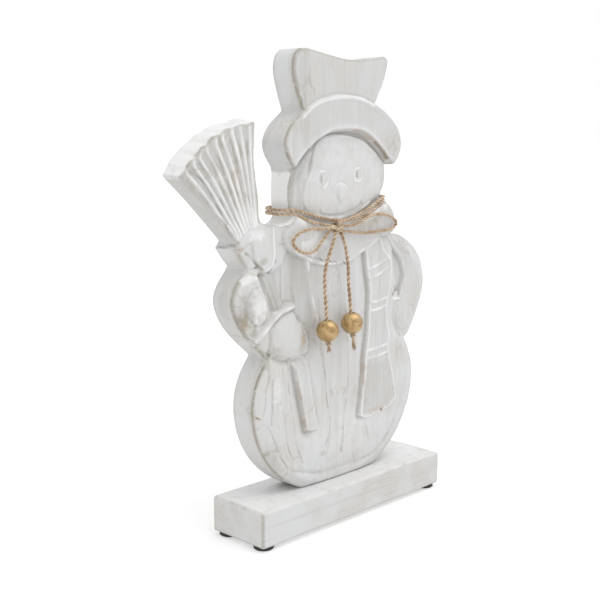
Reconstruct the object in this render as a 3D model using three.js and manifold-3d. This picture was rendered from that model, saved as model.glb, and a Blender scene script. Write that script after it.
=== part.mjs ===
// A wooden snowman that stands on a shelf. The figure is one carved one-inch plank, screwed from below to a
// wooden base block on four rubber feet. A jute twine goes twice round the neck and is tied in a bow, and
// each of the bow's two tails carries a wooden bead above an end knot.
// Millimetres, +Z up, the front of the figure looks along -Y.
import * as THREE from "three";
import { mergeVertices } from "three/addons/utils/BufferGeometryUtils.js";
import Module from "manifold-3d";

// ---- driving dimensions ----
const INCH = 25.4;
const GAP = 0.3; // between pieces that touch

const BASE_LENGTH = 7.5 * INCH;
const BASE_DEPTH = 2 * INCH;
const BASE_HEIGHT = INCH;
const BASE_EDGE = 2;

const FOOT_RADIUS = 7;
const FOOT_HEIGHT = 2.6;
const FOOT_INSET = 8; // from the block's sides to a foot's centre

const PLANK_THICKNESS = INCH;
const PLANK_BACK = PLANK_THICKNESS / 2;
const CARVED_DEEPEST = 5; // y = -5 is the ground that the relief stands on
const RELIEF_TOP = 12.4; // y = -12.4 is the highest relief
const RELIEF_ROOT = 1; // how far inside the plank the relief starts
const PLANK_EDGE = 1.4;
const PLANK_TOP = 330.4; // above the block's underside
const PLANK_LEFT = -143.9; // the broom's tip

const BALL = { x: -3.2, z: 90, across: 84.3, below: 72, above: 60 };

const SCREW_SPACING = 40;
const SCREW_RADIUS = 2.1;
const SCREW_HEAD_RADIUS = 4.1;
const SCREW_HEAD_HEIGHT = 2.6;
const SCREW_LENGTH = 38;
const SCREW_RECESS = 1.6; // the head lies this deep under the block

const TWINE_RADIUS = 1.2;
const TWINE_SIDES = 8;
const TWINE_STEP = 6; // along a twine that is nearly straight
const KNOT_RADIUS = 3.5;
const KNOT = new THREE.Vector3(-15, -16.6, 210.5);
const BEAD_RADIUS = 7.9;
const BEAD_BORE_RADIUS = 1.75;
const BEAD_FLAT = 7.2; // half of the bead's length along its bore
const BEAD_RINGS = 7;
const END_KNOT_RADIUS = 2.7;

const wasm = await Module();
wasm.setup();

// ---- materials ----
const finish = (color, roughness, metalness = 0) =>
  new THREE.MeshStandardMaterial({ color, roughness, metalness });
const WHITEWASH = finish(0xdad9d4, 0.75);
const RUBBER = finish(0x151515, 0.8);
const STEEL = finish(0x9a9a98, 0.35, 1);
const JUTE = finish(0xb58a5c, 0.95);
const GOLD_PAINT = finish(0xb9914f, 0.45, 0.5);

// ---- helpers ----
const flat = (pairs) => pairs.map(([x, z]) => new THREE.Vector2(x, z));
const curved = (pairs, perSpan = 2) =>
  new THREE.SplineCurve(flat(pairs)).getPoints((pairs.length - 1) * perSpan);

function solidOf(geometry) {
  const bare = geometry.clone();
  bare.deleteAttribute("normal");
  bare.deleteAttribute("uv");
  const merged = mergeVertices(bare, 1e-4);
  return new wasm.Manifold(
    new wasm.Mesh({
      numProp: 3,
      vertProperties: merged.attributes.position.array,
      triVerts: new Uint32Array(merged.index.array),
    }),
  );
}

function geometryOf(solid) {
  const mesh = solid.getMesh();
  const geometry = new THREE.BufferGeometry();
  geometry.setAttribute("position", new THREE.BufferAttribute(mesh.vertProperties, 3));
  geometry.setIndex(new THREE.BufferAttribute(mesh.triVerts, 1));
  geometry.computeVertexNormals();
  return geometry;
}

const joined = (solids) => solids.reduce((whole, next) => whole.add(next));

function piece(name, geometry, material) {
  const mesh = new THREE.Mesh(geometry, material);
  mesh.name = name;
  return mesh;
}

// A front-view outline extruded from y = back to y = front (back > front), its edges chamfered.
function board(outline, back, front, edge) {
  const geometry = new THREE.ExtrudeGeometry(new THREE.Shape(outline), {
    depth: back - front - 2 * edge,
    bevelEnabled: edge > 0,
    bevelThickness: edge,
    bevelSize: edge,
    bevelOffset: -edge,
    bevelSegments: 1,
    curveSegments: 1,
  });
  geometry.rotateX(Math.PI / 2);
  geometry.translate(0, back - edge, 0);
  return geometry;
}

// A raised layer; the chamfer of its hidden back stays inside the plank.
const relief = (outline, height, edge = 1.2) =>
  solidOf(board(outline, -CARVED_DEEPEST + RELIEF_ROOT + edge, -height, edge));

// A low dome that rises from the carved ground.
function dome(x, z, acrossX, acrossZ, height) {
  const geometry = new THREE.SphereGeometry(1, 24, 8);
  geometry.scale(acrossX, height - CARVED_DEEPEST + RELIEF_ROOT, acrossZ);
  geometry.translate(x, -CARVED_DEEPEST + RELIEF_ROOT, z);
  return solidOf(geometry);
}

function upright(radiusTop, radiusBottom, from, to, x, y) {
  const geometry = new THREE.CylinderGeometry(radiusTop, radiusBottom, to - from, 24);
  geometry.rotateX(Math.PI / 2);
  geometry.translate(x, y, (from + to) / 2);
  return geometry;
}

function twineAlong(points, step = TWINE_STEP) {
  const curve = new THREE.CatmullRomCurve3(points.map((p) => new THREE.Vector3(...p)), false, "centripetal");
  const section = new THREE.Shape();
  section.absarc(0, 0, TWINE_RADIUS, 0, 2 * Math.PI, false);
  return new THREE.ExtrudeGeometry(section, {
    steps: Math.ceil(curve.getLength() / step),
    curveSegments: TWINE_SIDES / 2, // three.js gives a full circle twice its curve segments
    bevelEnabled: false,
    extrudePath: curve,
  });
}

// ---- the carved plank ----
function ballArc(fromDegrees, toDegrees, height) {
  const arc = new THREE.EllipseCurve(
    BALL.x,
    BALL.z,
    BALL.across,
    height,
    THREE.MathUtils.degToRad(fromDegrees),
    THREE.MathUtils.degToRad(toDegrees),
    toDegrees < fromDegrees,
  );
  return arc.getPoints(Math.ceil(Math.abs(toDegrees - fromDegrees) / 9));
}

// The broom's top edge: an arc from its tip to its inner corner with the scalloped ends of the bristles.
const BROOM_TIP = new THREE.Vector2(PLANK_LEFT, 248.5);
const BROOM_CORNER = new THREE.Vector2(-81.4, 282.5);
const BROOM_BULGE = 7.5;
const BRISTLE_BUNDLES = 7;
const SCALLOP = 1.2;

function broomTop() {
  const along = BROOM_TIP.clone().sub(BROOM_CORNER);
  const outward = new THREE.Vector2(along.y, -along.x).normalize();
  const pointsPerBundle = 3;
  const count = BRISTLE_BUNDLES * pointsPerBundle;
  return Array.from({ length: count - 1 }, (_, i) => {
    const t = (i + 1) / count;
    const bulge = 4 * t * (1 - t) * BROOM_BULGE + SCALLOP * Math.abs(Math.sin(Math.PI * BRISTLE_BUNDLES * t));
    return BROOM_CORNER.clone().addScaledVector(along, t).addScaledVector(outward, bulge);
  });
}

function plankOutline() {
  const seat = Math.asin((BALL.z - BASE_HEIGHT - GAP) / BALL.below);
  const seatDegrees = THREE.MathUtils.radToDeg(seat);
  return [
    ...ballArc(-seatDegrees, 0, BALL.below),
    ...ballArc(9, 27, BALL.above),
    ...curved([[71.6, 118.6], [76.5, 122.5], [85.5, 136], [92.2, 151], [93.8, 163], [90.3, 176.5]]),
    ...curved([[88.6, 180], [82.5, 187], [74, 193.6], [63.5, 198.6], [52, 200.6]]),
    ...curved([[54.4, 204.2], [54.8, 210.6], [50.6, 219], [43.6, 225.2]]),
    ...curved([[44.6, 230.6], [47, 240], [45.6, 251]]),
    ...curved([[51.6, 251.6], [57.6, 259], [59.2, 267], [55.4, 277.4], [44.2, 287.4], [31.6, 294.6]]),
    ...curved([[34.6, 299.6], [41.6, 311.2], [45.4, 322.4], [45.2, 326.6]]),
    ...curved([[42.6, 328.4], [24, 325.9], [4, 324.7], [-16, 327.2], [-37, PLANK_TOP]]),
    ...curved([[-42.2, 330], [-46.9, 325.6], [-48.7, 316.6], [-45.8, 304], [-40.6, 289.4]]),
    ...curved([[-45, 286], [-53.6, 279], [-59, 269.4], [-57.8, 261], [-51.2, 251.4]]),
    ...curved([[-50.4, 247], [-51.2, 234], [-49.8, 218.4]]),
    ...curved([[-53, 214.8], [-60, 212.6], [-68, 214.4], [-75.4, 215.6]]),
    ...curved([[-78, 219.4], [-78.8, 234], [-82, 255], [-81.6, 276]]),
    BROOM_CORNER,
    ...broomTop(),
    BROOM_TIP,
    ...curved([[-142.4, 246.8], [-125, 231.2], [-98.4, 204.8]]),
    ...curved([[-101.9, 200.3], [-96.6, 193], [-91.4, 187.2]]),
    ...curved([[-94, 184], [-101.4, 174.6], [-104.4, 164.6], [-99.6, 151.4], [-89.4, 138.8], [-73.2, 124.4]]),
    ...ballArc(147, 180, BALL.above),
    ...ballArc(189, 180 + seatDegrees, BALL.below),
  ];
}

const bodyRelief = () =>
  relief([
    ...ballArc(-52, 0, BALL.below - 3),
    ...curved([[79, 100], [70, 119], [62, 150], [49, 192], [14, 205], [-44, 205]]),
    ...curved([[-64, 196], [-62, 150], [-72, 120], [-85, 100]]),
    ...ballArc(186, 232, BALL.below - 3),
  ], 9.6, 3);

const crownRelief = () =>
  relief([
    ...curved([[30, 292], [37.6, 306], [43.2, 319], [43.4, 326]]),
    ...curved([[24, 324], [4, 322.8], [-18, 325.4], [-38, 328.2]]),
    ...curved([[-46.2, 321], [-46, 311], [-41, 297], [-36, 286]]),
  ], 10, 1);

const brimRelief = () =>
  relief([
    ...curved([[49.6, 253.6], [55.8, 260], [57.4, 267], [53.6, 276.6], [42.6, 286.4], [28, 294]]),
    ...curved([[16, 298.4], [0, 300], [-16, 299], [-30, 295], [-44, 287]]),
    ...curved([[-53.6, 277], [-57.6, 268], [-56, 258], [-52.6, 251.4]]),
    ...curved([[-44, 259], [-32, 268.4], [-18, 274.6], [-2, 277], [14, 276.2], [28, 270.4], [40, 261]]),
  ], RELIEF_TOP, 1.2);

const collarRelief = () =>
  relief([
    ...curved([[51, 206], [50.6, 215], [43, 222.4]]),
    ...curved([[32, 217.6], [16, 211.6], [-6, 206.6], [-20, 206.8], [-36, 213], [-48, 217]]),
    ...curved([[-60, 210], [-58.4, 200.8], [-46, 191.6], [-28, 184.4], [-8, 182.2], [12, 185.4], [34, 193.6]]),
  ], 11, 1.6);

const scarfTailRelief = () =>
  relief([
    ...curved([[59, 76], [53, 98], [48.6, 116], [46.6, 142], [50.6, 166], [50, 182], [37, 198]]),
    ...curved([[22, 187], [26.6, 160], [25.6, 132], [21.6, 100], [15.6, 69]]),
    ...flat([[24, 66], [33, 67.6], [38, 66.4], [48, 70.4]]),
  ], 11.4, 1.2);

// Pairs of raised cross bands on the scarf's tail: [left x, left z, right x, right z].
const SCARF_BANDS = [
  [23, 174, 49, 182],
  [24.4, 167.6, 50, 175.6],
  [26.6, 150, 46.8, 149.8],
  [26.2, 144.4, 46.6, 145],
  [23.8, 114.8, 48, 117],
  [23, 109.4, 48.6, 111.4],
];
const BAND_HALF_WIDTH = 1.3;

const scarfBandReliefs = () =>
  SCARF_BANDS.map(([x0, z0, x1, z1]) =>
    relief(
      flat([
        [x0, z0 - BAND_HALF_WIDTH],
        [x1, z1 - BAND_HALF_WIDTH],
        [x1, z1 + BAND_HALF_WIDTH],
        [x0, z0 + BAND_HALF_WIDTH],
      ]),
      RELIEF_TOP,
      0.5,
    ),
  );

const leftArmRelief = () =>
  relief(
    curved([
      [-91, 183], [-101, 172], [-103.4, 163], [-98, 149], [-91, 140], [-83, 131.6], [-68, 141],
      [-58, 152], [-62, 164], [-72, 182], [-91, 183],
    ]).slice(1),
    9.4,
    2,
  );

const cuffRelief = () =>
  relief(
    flat([[-84, 131], [-73, 140], [-65.6, 148.6], [-60.6, 152.6], [-49.4, 155.4], [-51.6, 159], [-64, 157],
      [-74, 150.4], [-84, 144], [-93.4, 136.6]].reverse()),
    RELIEF_TOP,
    1,
  );

const rightArmRelief = () =>
  relief(
    curved([
      [68.6, 122], [76, 125], [84, 137], [91, 153], [91.8, 164], [86, 179], [75, 190], [58, 196.6],
      [50, 193], [63, 181], [68.6, 168], [64.6, 151], [59, 141], [60, 128], [68.6, 122],
    ]).slice(1),
    9.4,
    2,
  );

// The broom's stick shows above and below the mitten.
const stickReliefs = () => [
  relief(flat([[-78, 180], [-68, 157], [-59, 159], [-69, 181]]), 10.4, 1),
  relief(flat([[-50.8, 118], [-38.4, 67.4], [-28.4, 66.4], [-39.6, 120]]), 11.4, 1),
];

const ribbonReliefs = () => [
  relief(flat([[-100.6, 200.2], [-83, 184.6], [-72.6, 199], [-78, 215], [-90, 213], [-97, 204.4]]), 9.2, 1.2),
  relief(flat([[-84, 190], [-74.4, 187], [-67, 199], [-67.6, 213], [-76, 213]]), 10.6, 1.2),
];

// Flutes between the bristle bundles run from the ribbon to the scalloped edge.
const RIDGE_ROOT = new THREE.Vector2(-84, 205);
const RIDGE_HEIGHT = 7.6;

function bristleReliefs() {
  const along = BROOM_TIP.clone().sub(BROOM_CORNER);
  const outward = new THREE.Vector2(along.y, -along.x).normalize();
  return Array.from({ length: BRISTLE_BUNDLES }, (_, i) => {
    const middle = (i + 0.5) / BRISTLE_BUNDLES;
    const half = 0.3 / BRISTLE_BUNDLES;
    const reach = (t) =>
      BROOM_CORNER.clone()
        .addScaledVector(along, t)
        .addScaledVector(outward, 4 * t * (1 - t) * BROOM_BULGE - 1.5);
    const root = (t) => RIDGE_ROOT.clone().addScaledVector(along, (t - 0.5) * 0.25);
    return relief(
      [root(middle + half), root(middle - half), reach(middle - half), reach(middle + half)],
      RIDGE_HEIGHT,
      0.5,
    );
  });
}

function snowmanFigure() {
  const plank = solidOf(board(plankOutline(), PLANK_BACK, -CARVED_DEEPEST, PLANK_EDGE));
  const carved = joined([
    plank,
    bodyRelief(),
    crownRelief(),
    brimRelief(),
    dome(5.6, 244, 41, 29.6, 9.4), // the face
    dome(-4.4, 232, 7, 9, 11), // the nose
    dome(-21.4, 242.2, 5.6, 6, 9.8), // the eyes
    dome(16.4, 244.8, 5.6, 6, 9.8),
    collarRelief(),
    scarfTailRelief(),
    ...scarfBandReliefs(),
    leftArmRelief(),
    rightArmRelief(),
    cuffRelief(),
    dome(-53, 138.4, 18.6, 16.4, RELIEF_TOP), // the mitten
    dome(-10.4, 169.6, 6.4, 10, 11.4), // the button
    ...stickReliefs(),
    ...ribbonReliefs(),
    ...bristleReliefs(),
  ]);
  const bores = screwPlaces().map((x) =>
    solidOf(
      upright(
        SCREW_RADIUS + GAP,
        SCREW_RADIUS + GAP,
        BASE_HEIGHT - 1,
        SCREW_RECESS + SCREW_LENGTH + 1,
        x,
        0,
      ),
    ),
  );
  return piece("snowman_figure", geometryOf(bores.reduce((left, bore) => left.subtract(bore), carved)), WHITEWASH);
}

// ---- the base ----
const screwPlaces = () => [BALL.x - SCREW_SPACING / 2, BALL.x + SCREW_SPACING / 2];

function baseBlock() {
  const halfLength = BASE_LENGTH / 2;
  const outline = flat([
    [-halfLength, 0],
    [halfLength, 0],
    [halfLength, BASE_HEIGHT],
    [-halfLength, BASE_HEIGHT],
  ]);
  const block = solidOf(board(outline, BASE_DEPTH / 2, -BASE_DEPTH / 2, BASE_EDGE));
  const seatTop = SCREW_RECESS + SCREW_HEAD_HEIGHT + GAP;
  const holes = screwPlaces().flatMap((x) => [
    solidOf(upright(SCREW_RADIUS + GAP, SCREW_RADIUS + GAP, 1, BASE_HEIGHT + 1, x, 0)),
    solidOf(upright(SCREW_RADIUS + GAP, SCREW_HEAD_RADIUS + GAP, SCREW_RECESS, seatTop, x, 0)),
    solidOf(upright(SCREW_HEAD_RADIUS + GAP, SCREW_HEAD_RADIUS + GAP, -1, SCREW_RECESS, x, 0)),
  ]);
  return piece("base_block", geometryOf(holes.reduce((left, hole) => left.subtract(hole), block)), WHITEWASH);
}

function mountingScrew(name, x) {
  const top = SCREW_RECESS + SCREW_LENGTH;
  const shaftTop = top - 4;
  const profile = [
    [0, SCREW_RECESS],
    [SCREW_HEAD_RADIUS, SCREW_RECESS],
    [SCREW_RADIUS, SCREW_RECESS + SCREW_HEAD_HEIGHT],
    [SCREW_RADIUS, shaftTop],
    [0, top],
  ];
  const geometry = new THREE.LatheGeometry(flat(profile), 20);
  geometry.rotateX(Math.PI / 2);
  geometry.translate(x, 0, 0);
  return piece(name, geometry, STEEL);
}

function rubberFoot(name, x, y) {
  const crown = 0.6;
  const profile = [
    [0, -FOOT_HEIGHT],
    [FOOT_RADIUS - crown, -FOOT_HEIGHT],
    [FOOT_RADIUS, -FOOT_HEIGHT + crown],
    [FOOT_RADIUS, -GAP],
    [0, -GAP],
  ];
  const geometry = new THREE.LatheGeometry(flat(profile), 24);
  geometry.rotateX(Math.PI / 2);
  geometry.translate(x, y, 0);
  return piece(name, geometry, RUBBER);
}

function feet() {
  const x = BASE_LENGTH / 2 - FOOT_INSET;
  const y = BASE_DEPTH / 2 - FOOT_INSET;
  return [
    rubberFoot("foot_front_left", -x, -y),
    rubberFoot("foot_front_right", x, -y),
    rubberFoot("foot_back_left", -x, y),
    rubberFoot("foot_back_right", x, y),
  ];
}

// ---- the twine ----
// Two turns round the neck, the second a twine's width above the first at the sides and the back.
const NECK_TURN = [
  [-50.6, -8, 220.4],
  [-54.4, -4, 220.2],
  [-54.6, 12, 220.6],
  [-50.4, 15.6, 220.8],
  [-4, 14.4, 222.8],
  [42.6, 15.8, 224.4],
  [48.6, 12, 224.8],
  [48.4, -4, 225],
  [42.6, -8.6, 224.6],
  [16, -12.6, 215.2],
];
const TURN_RISE = 2.9;
const NECK_STEP = 10;

function neckTwine() {
  const lower = NECK_TURN;
  const upper = NECK_TURN.map(([x, y, z]) => [x, y, z + TURN_RISE]);
  const path = [[-20.6, -13.8, 211.2], [-34, -12.6, 214.2], ...lower, [-14.6, -12.4, 214.6], ...upper, [-9.4, -13.8, 212]];
  return piece("neck_twine", twineAlong(path, NECK_STEP), JUTE);
}

function knotBall(name, centre, radius) {
  const geometry = new THREE.IcosahedronGeometry(radius, 2);
  geometry.translate(centre.x, centre.y, centre.z);
  return piece(name, geometry, JUTE);
}

const BOW_LOOPS = {
  bow_loop_left: [
    [-19.6, -16.6, 210.2], [-30, -16.2, 209.6], [-42, -15.4, 210], [-52, -14.8, 207], [-56.4, -14.6, 202.6],
    [-52.6, -14.6, 197.6], [-44, -14.6, 193.8], [-35, -14.6, 194.8], [-27, -14.7, 201.6], [-20.6, -14.8, 207.2],
  ],
  bow_loop_right: [
    [-10.4, -16.6, 210.6], [1, -16.2, 210], [11, -15.8, 212.2], [22, -15.2, 215.4], [34, -14.8, 216],
    [45, -14.4, 213.6], [52.4, -14, 208.6], [48.6, -14, 204.8], [36, -14.2, 203.8], [18, -14.6, 203.6],
    [2, -14.6, 205.2], [-10.2, -14.6, 207.6],
  ],
};

// The tails hang in front of the loops' lower strands, so that they can swing past them.
const TAILS = {
  left: {
    root: [[-17.4, -17.7, 205.8], [-18.6, -17.8, 203]],
    path: [[-18.8, -17.8, 202.6], [-22.8, -18, 195], [-28.6, -18.6, 182], [-30.2, -19.4, 170]],
    beadCentre: [-29, -21.1, 139.4],
  },
  right: {
    root: [[-12.2, -17.7, 206], [-10.8, -17.8, 203.2]],
    path: [[-10.6, -17.8, 202.8], [-7.6, -18, 195], [-5.4, -18.4, 182], [-5.6, -19.2, 170]],
    beadCentre: [-3.8, -21.1, 141.6],
  },
};
const TAIL_STEP = 8;

// The tail is straight from its last hand-placed point down through the bead, so that the bead can slide.
function beadAxis({ path, beadCentre }) {
  const from = new THREE.Vector3(...path[path.length - 1]);
  return from.sub(new THREE.Vector3(...beadCentre)).normalize();
}

const along = (centre, axis, distance) => new THREE.Vector3(...centre).addScaledVector(axis, distance);

function tail(side, route) {
  const axis = beadAxis(route);
  const straight = [22, 11, 0, -BEAD_FLAT - GAP].map((up) => along(route.beadCentre, axis, up).toArray());
  return [
    piece(`twine_tail_${side}_root`, twineAlong(route.root), JUTE),
    piece(`twine_tail_${side}`, twineAlong([...route.path, ...straight], TAIL_STEP), JUTE),
  ];
}

function turnedTo(geometry, axis, centre) {
  const up = new THREE.Vector3(0, 1, 0);
  geometry.applyQuaternion(new THREE.Quaternion().setFromUnitVectors(up, axis));
  geometry.translate(centre.x, centre.y, centre.z);
  return geometry;
}

function bead(side, route) {
  const wall = Array.from({ length: BEAD_RINGS + 1 }, (_, i) => {
    const height = -BEAD_FLAT + (2 * BEAD_FLAT * i) / BEAD_RINGS;
    return [Math.sqrt(BEAD_RADIUS ** 2 - height ** 2), height];
  });
  const profile = [...wall, [BEAD_BORE_RADIUS, BEAD_FLAT], [BEAD_BORE_RADIUS, -BEAD_FLAT], wall[0]];
  const geometry = new THREE.LatheGeometry(flat(profile), 22);
  const centre = new THREE.Vector3(...route.beadCentre);
  return piece(`bead_${side}`, turnedTo(geometry, beadAxis(route), centre), GOLD_PAINT);
}

function endKnot(side, route) {
  const axis = beadAxis(route);
  const top = -BEAD_FLAT - 2 * GAP;
  const profile = [
    [0, -13.6],
    [2, -12.8],
    [1.7, -6.6],
    [END_KNOT_RADIUS, -4.2],
    [END_KNOT_RADIUS, -1.4],
    [1.6, 0],
    [0, 0],
  ];
  const geometry = new THREE.LatheGeometry(flat(profile), 12);
  return piece(`end_knot_${side}`, turnedTo(geometry, axis, along(route.beadCentre, axis, top)), JUTE);
}

// ---- the whole figure, its box centred on the origin and its feet on z = 0 ----
const group = new THREE.Group();
group.add(baseBlock());
group.add(snowmanFigure());
screwPlaces().forEach((x, i) => group.add(mountingScrew(["mounting_screw_left", "mounting_screw_right"][i], x)));
group.add(...feet());
group.add(neckTwine());
group.add(knotBall("bow_knot", KNOT, KNOT_RADIUS));
for (const [name, path] of Object.entries(BOW_LOOPS)) {
  group.add(piece(name, twineAlong(path), JUTE));
}
for (const [side, route] of Object.entries(TAILS)) {
  group.add(...tail(side, route));
  group.add(bead(side, route));
  group.add(endKnot(side, route));
}
group.position.set(-(PLANK_LEFT + BASE_LENGTH / 2) / 2, 0, FOOT_HEIGHT);

export default group;
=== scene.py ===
# A whitewashed wooden snowman on its base block, with a jute bow and two gold beads.
# Everything is placed in millimetres from the middle of the base block's underside (x to the right,
# y to the back, z up), and at() turns that into the frame's metres. Heights of the carving are
# measured forward from the plank's middle plane, so a height of 12 is y = -12.
import math

import bmesh
import bpy
import numpy as np
from mathutils import Matrix, Vector
from mathutils.geometry import delaunay_2d_cdt


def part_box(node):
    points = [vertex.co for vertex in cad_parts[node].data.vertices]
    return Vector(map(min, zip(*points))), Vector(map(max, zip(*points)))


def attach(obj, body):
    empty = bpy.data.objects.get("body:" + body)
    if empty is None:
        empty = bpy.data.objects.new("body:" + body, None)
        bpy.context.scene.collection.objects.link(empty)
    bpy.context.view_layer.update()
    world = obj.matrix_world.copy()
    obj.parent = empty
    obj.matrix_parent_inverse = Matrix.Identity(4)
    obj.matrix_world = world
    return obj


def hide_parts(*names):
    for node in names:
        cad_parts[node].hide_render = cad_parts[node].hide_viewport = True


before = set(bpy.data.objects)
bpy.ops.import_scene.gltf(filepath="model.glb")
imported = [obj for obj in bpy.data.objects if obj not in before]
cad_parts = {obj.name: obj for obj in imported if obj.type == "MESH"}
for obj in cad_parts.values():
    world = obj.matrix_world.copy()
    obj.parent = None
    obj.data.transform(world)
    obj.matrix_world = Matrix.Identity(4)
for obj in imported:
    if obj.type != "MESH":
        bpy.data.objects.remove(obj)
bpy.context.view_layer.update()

base_low, base_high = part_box("base_block")
CENTRE_X = (base_low.x + base_high.x) / 2
CENTRE_Y = (base_low.y + base_high.y) / 2
BOTTOM_Z = base_low.z
MM = 0.001


def at(x, y, z):
    return Vector((CENTRE_X + x * MM, CENTRE_Y + y * MM, BOTTOM_Z + z * MM))


# ---- camera ----
CAMERA_PLACE = (-544.1, -504.7, 277.5)
CAMERA_DOWN, CAMERA_ROUND = 9.37, 45.26  # degrees below level and round from the front
FOCAL_LENGTH, SENSOR_WIDTH = 62.4, 36.0


def make_camera():
    data = bpy.data.cameras.new("camera")
    data.lens = FOCAL_LENGTH
    data.sensor_width = SENSOR_WIDTH
    camera = bpy.data.objects.new("camera", data)
    camera.location = at(*CAMERA_PLACE)
    camera.rotation_euler = (math.radians(90 - CAMERA_DOWN), 0, math.radians(-CAMERA_ROUND))
    bpy.context.collection.objects.link(camera)
    bpy.context.scene.camera = camera


make_camera()


# ---- node helpers ----
WANDER_SCALE = 130.0
WANDER_REACH = (0.35, 0.35, 0.35)  # in cells of the crackle


class Nodes:
    """A material's node tree with short calls for the nodes that are used again and again."""

    def __init__(self, name):
        self.material = bpy.data.materials.new(name)
        self.material.use_nodes = True
        self.tree = self.material.node_tree
        self.shader = self.tree.nodes["Principled BSDF"]
        self.place = self.new("ShaderNodeTexCoord").outputs["Object"]

    def new(self, kind):
        return self.tree.nodes.new(kind)

    def put(self, socket, value):
        if isinstance(value, bpy.types.NodeSocket):
            self.tree.links.new(value, socket)
        else:
            socket.default_value = value

    def math(self, operation, a, b=0.0):
        node = self.new("ShaderNodeMath")
        node.operation = operation
        self.put(node.inputs[0], a)
        self.put(node.inputs[1], b)
        return node.outputs[0]

    def times(self, a, b):
        return self.math("MULTIPLY", a, b)

    def stretched(self, scale):
        node = self.new("ShaderNodeMapping")
        self.put(node.inputs["Vector"], self.place)
        node.inputs["Scale"].default_value = scale
        return node.outputs[0]

    def noise(self, vector, scale, detail=3.0, rough=0.5, distortion=0.0):
        node = self.new("ShaderNodeTexNoise")
        self.put(node.inputs["Vector"], vector)
        node.inputs["Scale"].default_value = scale
        node.inputs["Detail"].default_value = detail
        node.inputs["Roughness"].default_value = rough
        node.inputs["Distortion"].default_value = distortion
        return node.outputs["Fac"]

    def cracks(self, scale):
        """Distance to the nearest crack of a wandering crackle."""
        wander = self.new("ShaderNodeTexNoise")
        self.put(wander.inputs["Vector"], self.place)
        wander.inputs["Scale"].default_value = WANDER_SCALE
        shift = self.new("ShaderNodeVectorMath")
        shift.operation = "MULTIPLY_ADD"
        self.put(shift.inputs[0], wander.outputs["Color"])
        shift.inputs[1].default_value = WANDER_REACH
        self.put(shift.inputs[2], self.stretched(scale))
        cells = self.new("ShaderNodeTexVoronoi")
        cells.feature = "DISTANCE_TO_EDGE"
        cells.inputs["Scale"].default_value = 1.0
        self.put(cells.inputs["Vector"], shift.outputs[0])
        return cells.outputs["Distance"]

    def attribute(self, name):
        node = self.new("ShaderNodeAttribute")
        node.attribute_name = name
        return node.outputs["Fac"]

    def ramp(self, value, low, high, to_low=0.0, to_high=1.0):
        node = self.new("ShaderNodeMapRange")
        node.interpolation_type = "SMOOTHSTEP"
        for socket, v in zip(node.inputs[:5], (value, low, high, to_low, to_high)):
            self.put(socket, v)
        return node.outputs[0]

    def mix(self, factor, a, b):
        node = self.new("ShaderNodeMix")
        node.data_type = "RGBA"
        self.put(node.inputs[0], factor)
        self.put(node.inputs[6], (*a, 1) if isinstance(a, tuple) else a)
        self.put(node.inputs[7], (*b, 1) if isinstance(b, tuple) else b)
        return node.outputs[2]

    def bump(self, height, distance, strength=1.0, under=None):
        node = self.new("ShaderNodeBump")
        node.inputs["Strength"].default_value = strength
        node.inputs["Distance"].default_value = distance
        self.put(node.inputs["Height"], height)
        if under is not None:
            self.put(node.inputs["Normal"], under)
        return node.outputs[0]

    def finish(self, color, roughness, normal=None, **constants):
        self.put(self.shader.inputs["Base Color"], color)
        self.put(self.shader.inputs["Roughness"], roughness)
        if normal is not None:
            self.put(self.shader.inputs["Normal"], normal)
        for name, value in constants.items():
            self.shader.inputs[name.replace("_", " ")].default_value = value
        return self.material


# ---- materials ----
# The hollow grey, the rubbed wood, the stains and the thick wash also serve as painted shade, painted shadow
# lines and painted highlights.
WASH_COOL, WASH_WARM = (0.603, 0.607, 0.611), (0.576, 0.568, 0.549)
THICK_WASH_AND_HIGHLIGHT = (0.84, 0.84, 0.84)
GREY_GRAIN, BEIGE_GRAIN = (0.475, 0.470, 0.450), (0.445, 0.432, 0.394)
BLOTCH, CRACKLE = (0.535, 0.527, 0.50), (0.32, 0.30, 0.25)
HOLLOW_GRIME_AND_SHADE, RUBBED_WOOD_AND_SHADE = (0.375, 0.362, 0.325), (0.30, 0.272, 0.215)
GREY_STAIN_AND_SHADE_TINT, BROWN_STAIN_AND_SHADE_TINT, DARK_CRACK = (0.37, 0.365, 0.335), (0.40, 0.285, 0.172), (0.085, 0.06, 0.035)


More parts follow.
